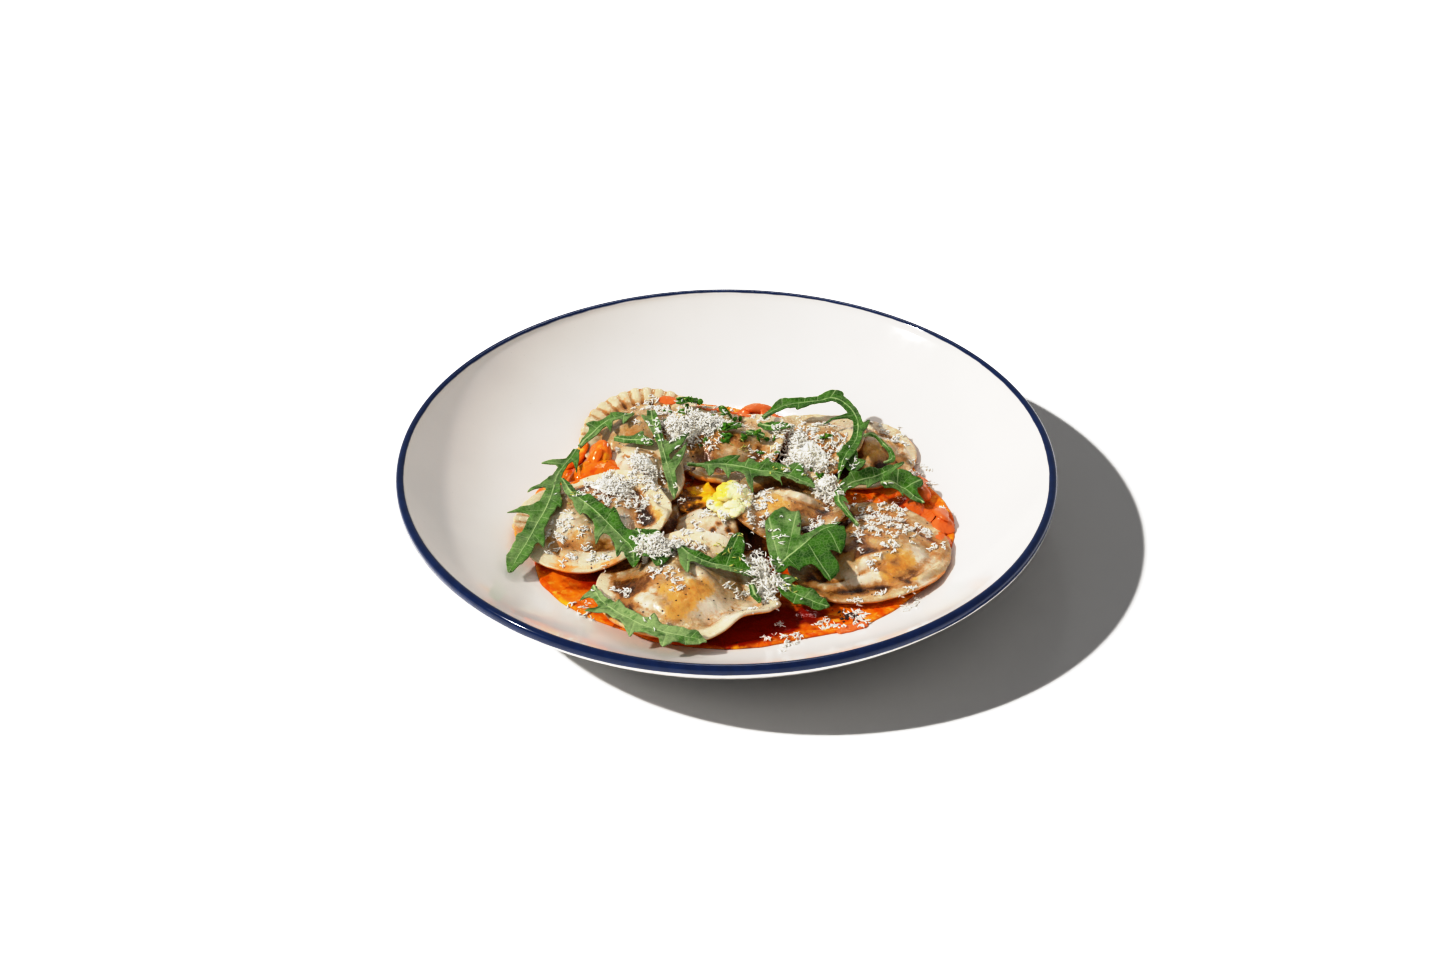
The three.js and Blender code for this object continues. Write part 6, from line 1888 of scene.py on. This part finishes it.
class RAVIOLI_OT_lumps(bpy.types.Operator):
    """Tomato, spilled sauce, browned butter and the knob of curd"""

    bl_idname = "ravioli.lumps"
    bl_label = "Tomato and curd"

    def execute(self, context):
        look = context.scene.ravioli_food
        flesh = flesh_finish(look)
        for number, node in enumerate(named("tomato_")):
            peeled = node.startswith("tomato_left")
            finish = flesh if peeled else bpy.data.materials["sauce"]
            obj = lump_piece(node, number, rough=0.14 if peeled else 0.45)
            finished(obj, "flesh_of_" + node, finish, [node])
            raise_plate(obj)
        calm = calm_plate(2)
        for table, name, finish, rough, slot in (
            (LOBES, "tomato_lobes", flesh, 0.06, "tomato"),
            (SPILLS, "spilled_sauce", bpy.data.materials["sauce"], 0.7, "sauce"),
        ):
            lobes = as_one([spill_piece(calm, n, rough, *spill) for n, spill in enumerate(table)])
            x, y, _ = in_mm(lobes)
            note(lobes, "amber", spots(x, y, SPILL_YELLOW, 71))
            note(lobes, "browned", spots(x, y, SPILL_BROWNED, 72))
            note(lobes, "deep", spots(x, y, SPILL_DEEP, 73))
            finished(lobes, name, finish)
            raise_plate(lobes)
        raise_plate(finished(butter_pool(), "browned_butter", butter_finish(look)))
        raise_plate(finished(curd_crumbs(), "soft_curd", curd_finish(look), ["curd"]))
        return {"FINISHED"}


class RAVIOLI_OT_leaves(bpy.types.Operator):
    """Rocket leaves and scraps of herb"""

    bl_idname = "ravioli.leaves"
    bl_label = "Leaves"

    def execute(self, context):
        look = context.scene.ravioli_food
        green = leaf_finish(look)
        herbs = {node: herb_spec(node) for node in named("herb_")}
        for specs, seed, thickness, kind, slot in (
            (LEAVES, 0, LEAF_THICKNESS, "rocket_", "rocket"),
            (herbs, 30, HERB_THICKNESS, "torn_", "herb"),
        ):
            for number, (node, spec) in enumerate(specs.items()):
                obj = leaf_piece(node, spec, seed + number, thickness)
                finished(obj, kind + node, green, [node])
                raise_plate(obj, is_leaf=True)
        return {"FINISHED"}


class RAVIOLI_OT_cheese(bpy.types.Operator):
    """Drifts and single shreds of grated cheese, and zest"""

    bl_idname = "ravioli.cheese"
    bl_label = "Grated cheese"

    def execute(self, context):
        look = context.scene.ravioli_cheese
        grated = grated_finish("grated cheese", look.cheese, look.cheese_shade)
        for number, node in enumerate(DRIFTS):
            heap = drift_piece(node, number, look)
            finished(heap, "heap_of_" + node, grated, [node])
        rng = np.random.default_rng(11)
        scaled = [
            (px, py, SPRINKLED_WIDER * spread, int(SPRINKLED_MORE * count))
            for px, py, spread, count in SPRINKLED
        ]
        x, y = off_leaves(rng, *strewn(rng, scaled, SPRINKLED_CLUMP), SHREDS_ON_LEAVES)
        z = plate.at(x, y) + 0.1 + 0.5 * rng.random(len(x)) ** 2
        shreds = shreds_at(rng, x, y, z, look, tilt=0.25, curl=1.6)
        finished(shreds, "sprinkled_cheese", grated)
        x, y = strewn(rng, ZEST)
        z = plate.at(x, y) + 0.35
        peel = curls(rng, x, y, z, length=2.2, width=0.5, thickness=0.3, tilt=0.25, curl=1.2)
        zest = grated_finish("zest", look.zest, toned(look.zest, 0.6))
        finished(one_mesh(*peel), "zest", zest)
        return {"FINISHED"}


class RAVIOLI_OT_seasoning(bpy.types.Operator):
    """Ground pepper, dark crumbs and chopped herb"""

    bl_idname = "ravioli.seasoning"
    bl_label = "Seasoning"

    def execute(self, context):
        look = context.scene.ravioli_food
        rng = np.random.default_rng(23)
        angle = rng.uniform(0, 2 * np.pi, PEPPER_GRAINS)
        reach = PEPPER_REACH * np.sqrt(rng.random(PEPPER_GRAINS))
        x, y = off_leaves(rng, *around(PEPPER_MIDDLE, reach, angle), PEPPER_ON_LEAVES)
        grains = one_mesh(*specks(rng, x, y, plate.at(x, y) + 0.05, size=0.52))
        pepper = speck_finish("pepper", look.pepper, toned(look.pepper, 3))
        finished(grains, "ground_pepper", pepper)
        x, y = strewn(rng, CRUMBS)
        crumbs = one_mesh(*specks(rng, x, y, plate.at(x, y) + 0.3, size=1.5))
        crumb = speck_finish("crumb", look.crumb, toned(look.crumb, 2.5))
        finished(crumbs, "dark_crumbs", crumb)
        x, y = strewn(rng, CHOPPED_HERB)
        z = plate.at(x, y) + 0.5
        bits = curls(rng, x, y, z, length=3.2, width=1.9, thickness=0.28, tilt=0.35, curl=0.9)
        herb = grated_finish("chopped herb", look.herb, toned(look.herb, 0.45))
        finished(one_mesh(*bits), "chopped_herb", herb)
        return {"FINISHED"}


class RAVIOLI_PT_panel(bpy.types.Panel):
    """Sizes, colours and steps of the plated ravioli"""

    bl_label = "Plated ravioli"
    bl_idname = "RAVIOLI_PT_panel"
    bl_space_type = "VIEW_3D"
    bl_region_type = "UI"
    bl_category = "Ravioli"

    def draw(self, context):
        for look in LOOKS:
            box = self.layout.box()
            box.label(text=look.__doc__)
            settings = getattr(context.scene, LOOKS[look])
            for name in look.__annotations__:
                box.prop(settings, name)
        for step in STEPS:
            self.layout.operator(step.bl_idname)


LOOKS = {
    BowlLook: "ravioli_bowl",
    FoodLook: "ravioli_food",
    CheeseLook: "ravioli_cheese",
    StageLook: "ravioli_stage",
}
STEPS = [
    RAVIOLI_OT_stage, RAVIOLI_OT_bowl, RAVIOLI_OT_sauce, RAVIOLI_OT_pasta, RAVIOLI_OT_lumps,
    RAVIOLI_OT_leaves, RAVIOLI_OT_cheese, RAVIOLI_OT_seasoning,
]


def register():
    for made in [*LOOKS, *STEPS, RAVIOLI_PT_panel]:
        bpy.utils.register_class(made)
    for look, name in LOOKS.items():
        setattr(bpy.types.Scene, name, PointerProperty(type=look))


def unregister():
    for name in LOOKS.values():
        delattr(bpy.types.Scene, name)
    for made in reversed([*LOOKS, *STEPS, RAVIOLI_PT_panel]):
        bpy.utils.unregister_class(made)


def main():
    register()
    bpy.ops.ravioli.stage()
    bpy.ops.ravioli.bowl()
    bpy.ops.ravioli.sauce()
    bpy.ops.ravioli.pasta()
    bpy.ops.ravioli.lumps()
    bpy.ops.ravioli.leaves()
    bpy.ops.ravioli.cheese()
    bpy.ops.ravioli.seasoning()
    bpy.context.view_layer.update()


if __name__ == "__main__":
    main()
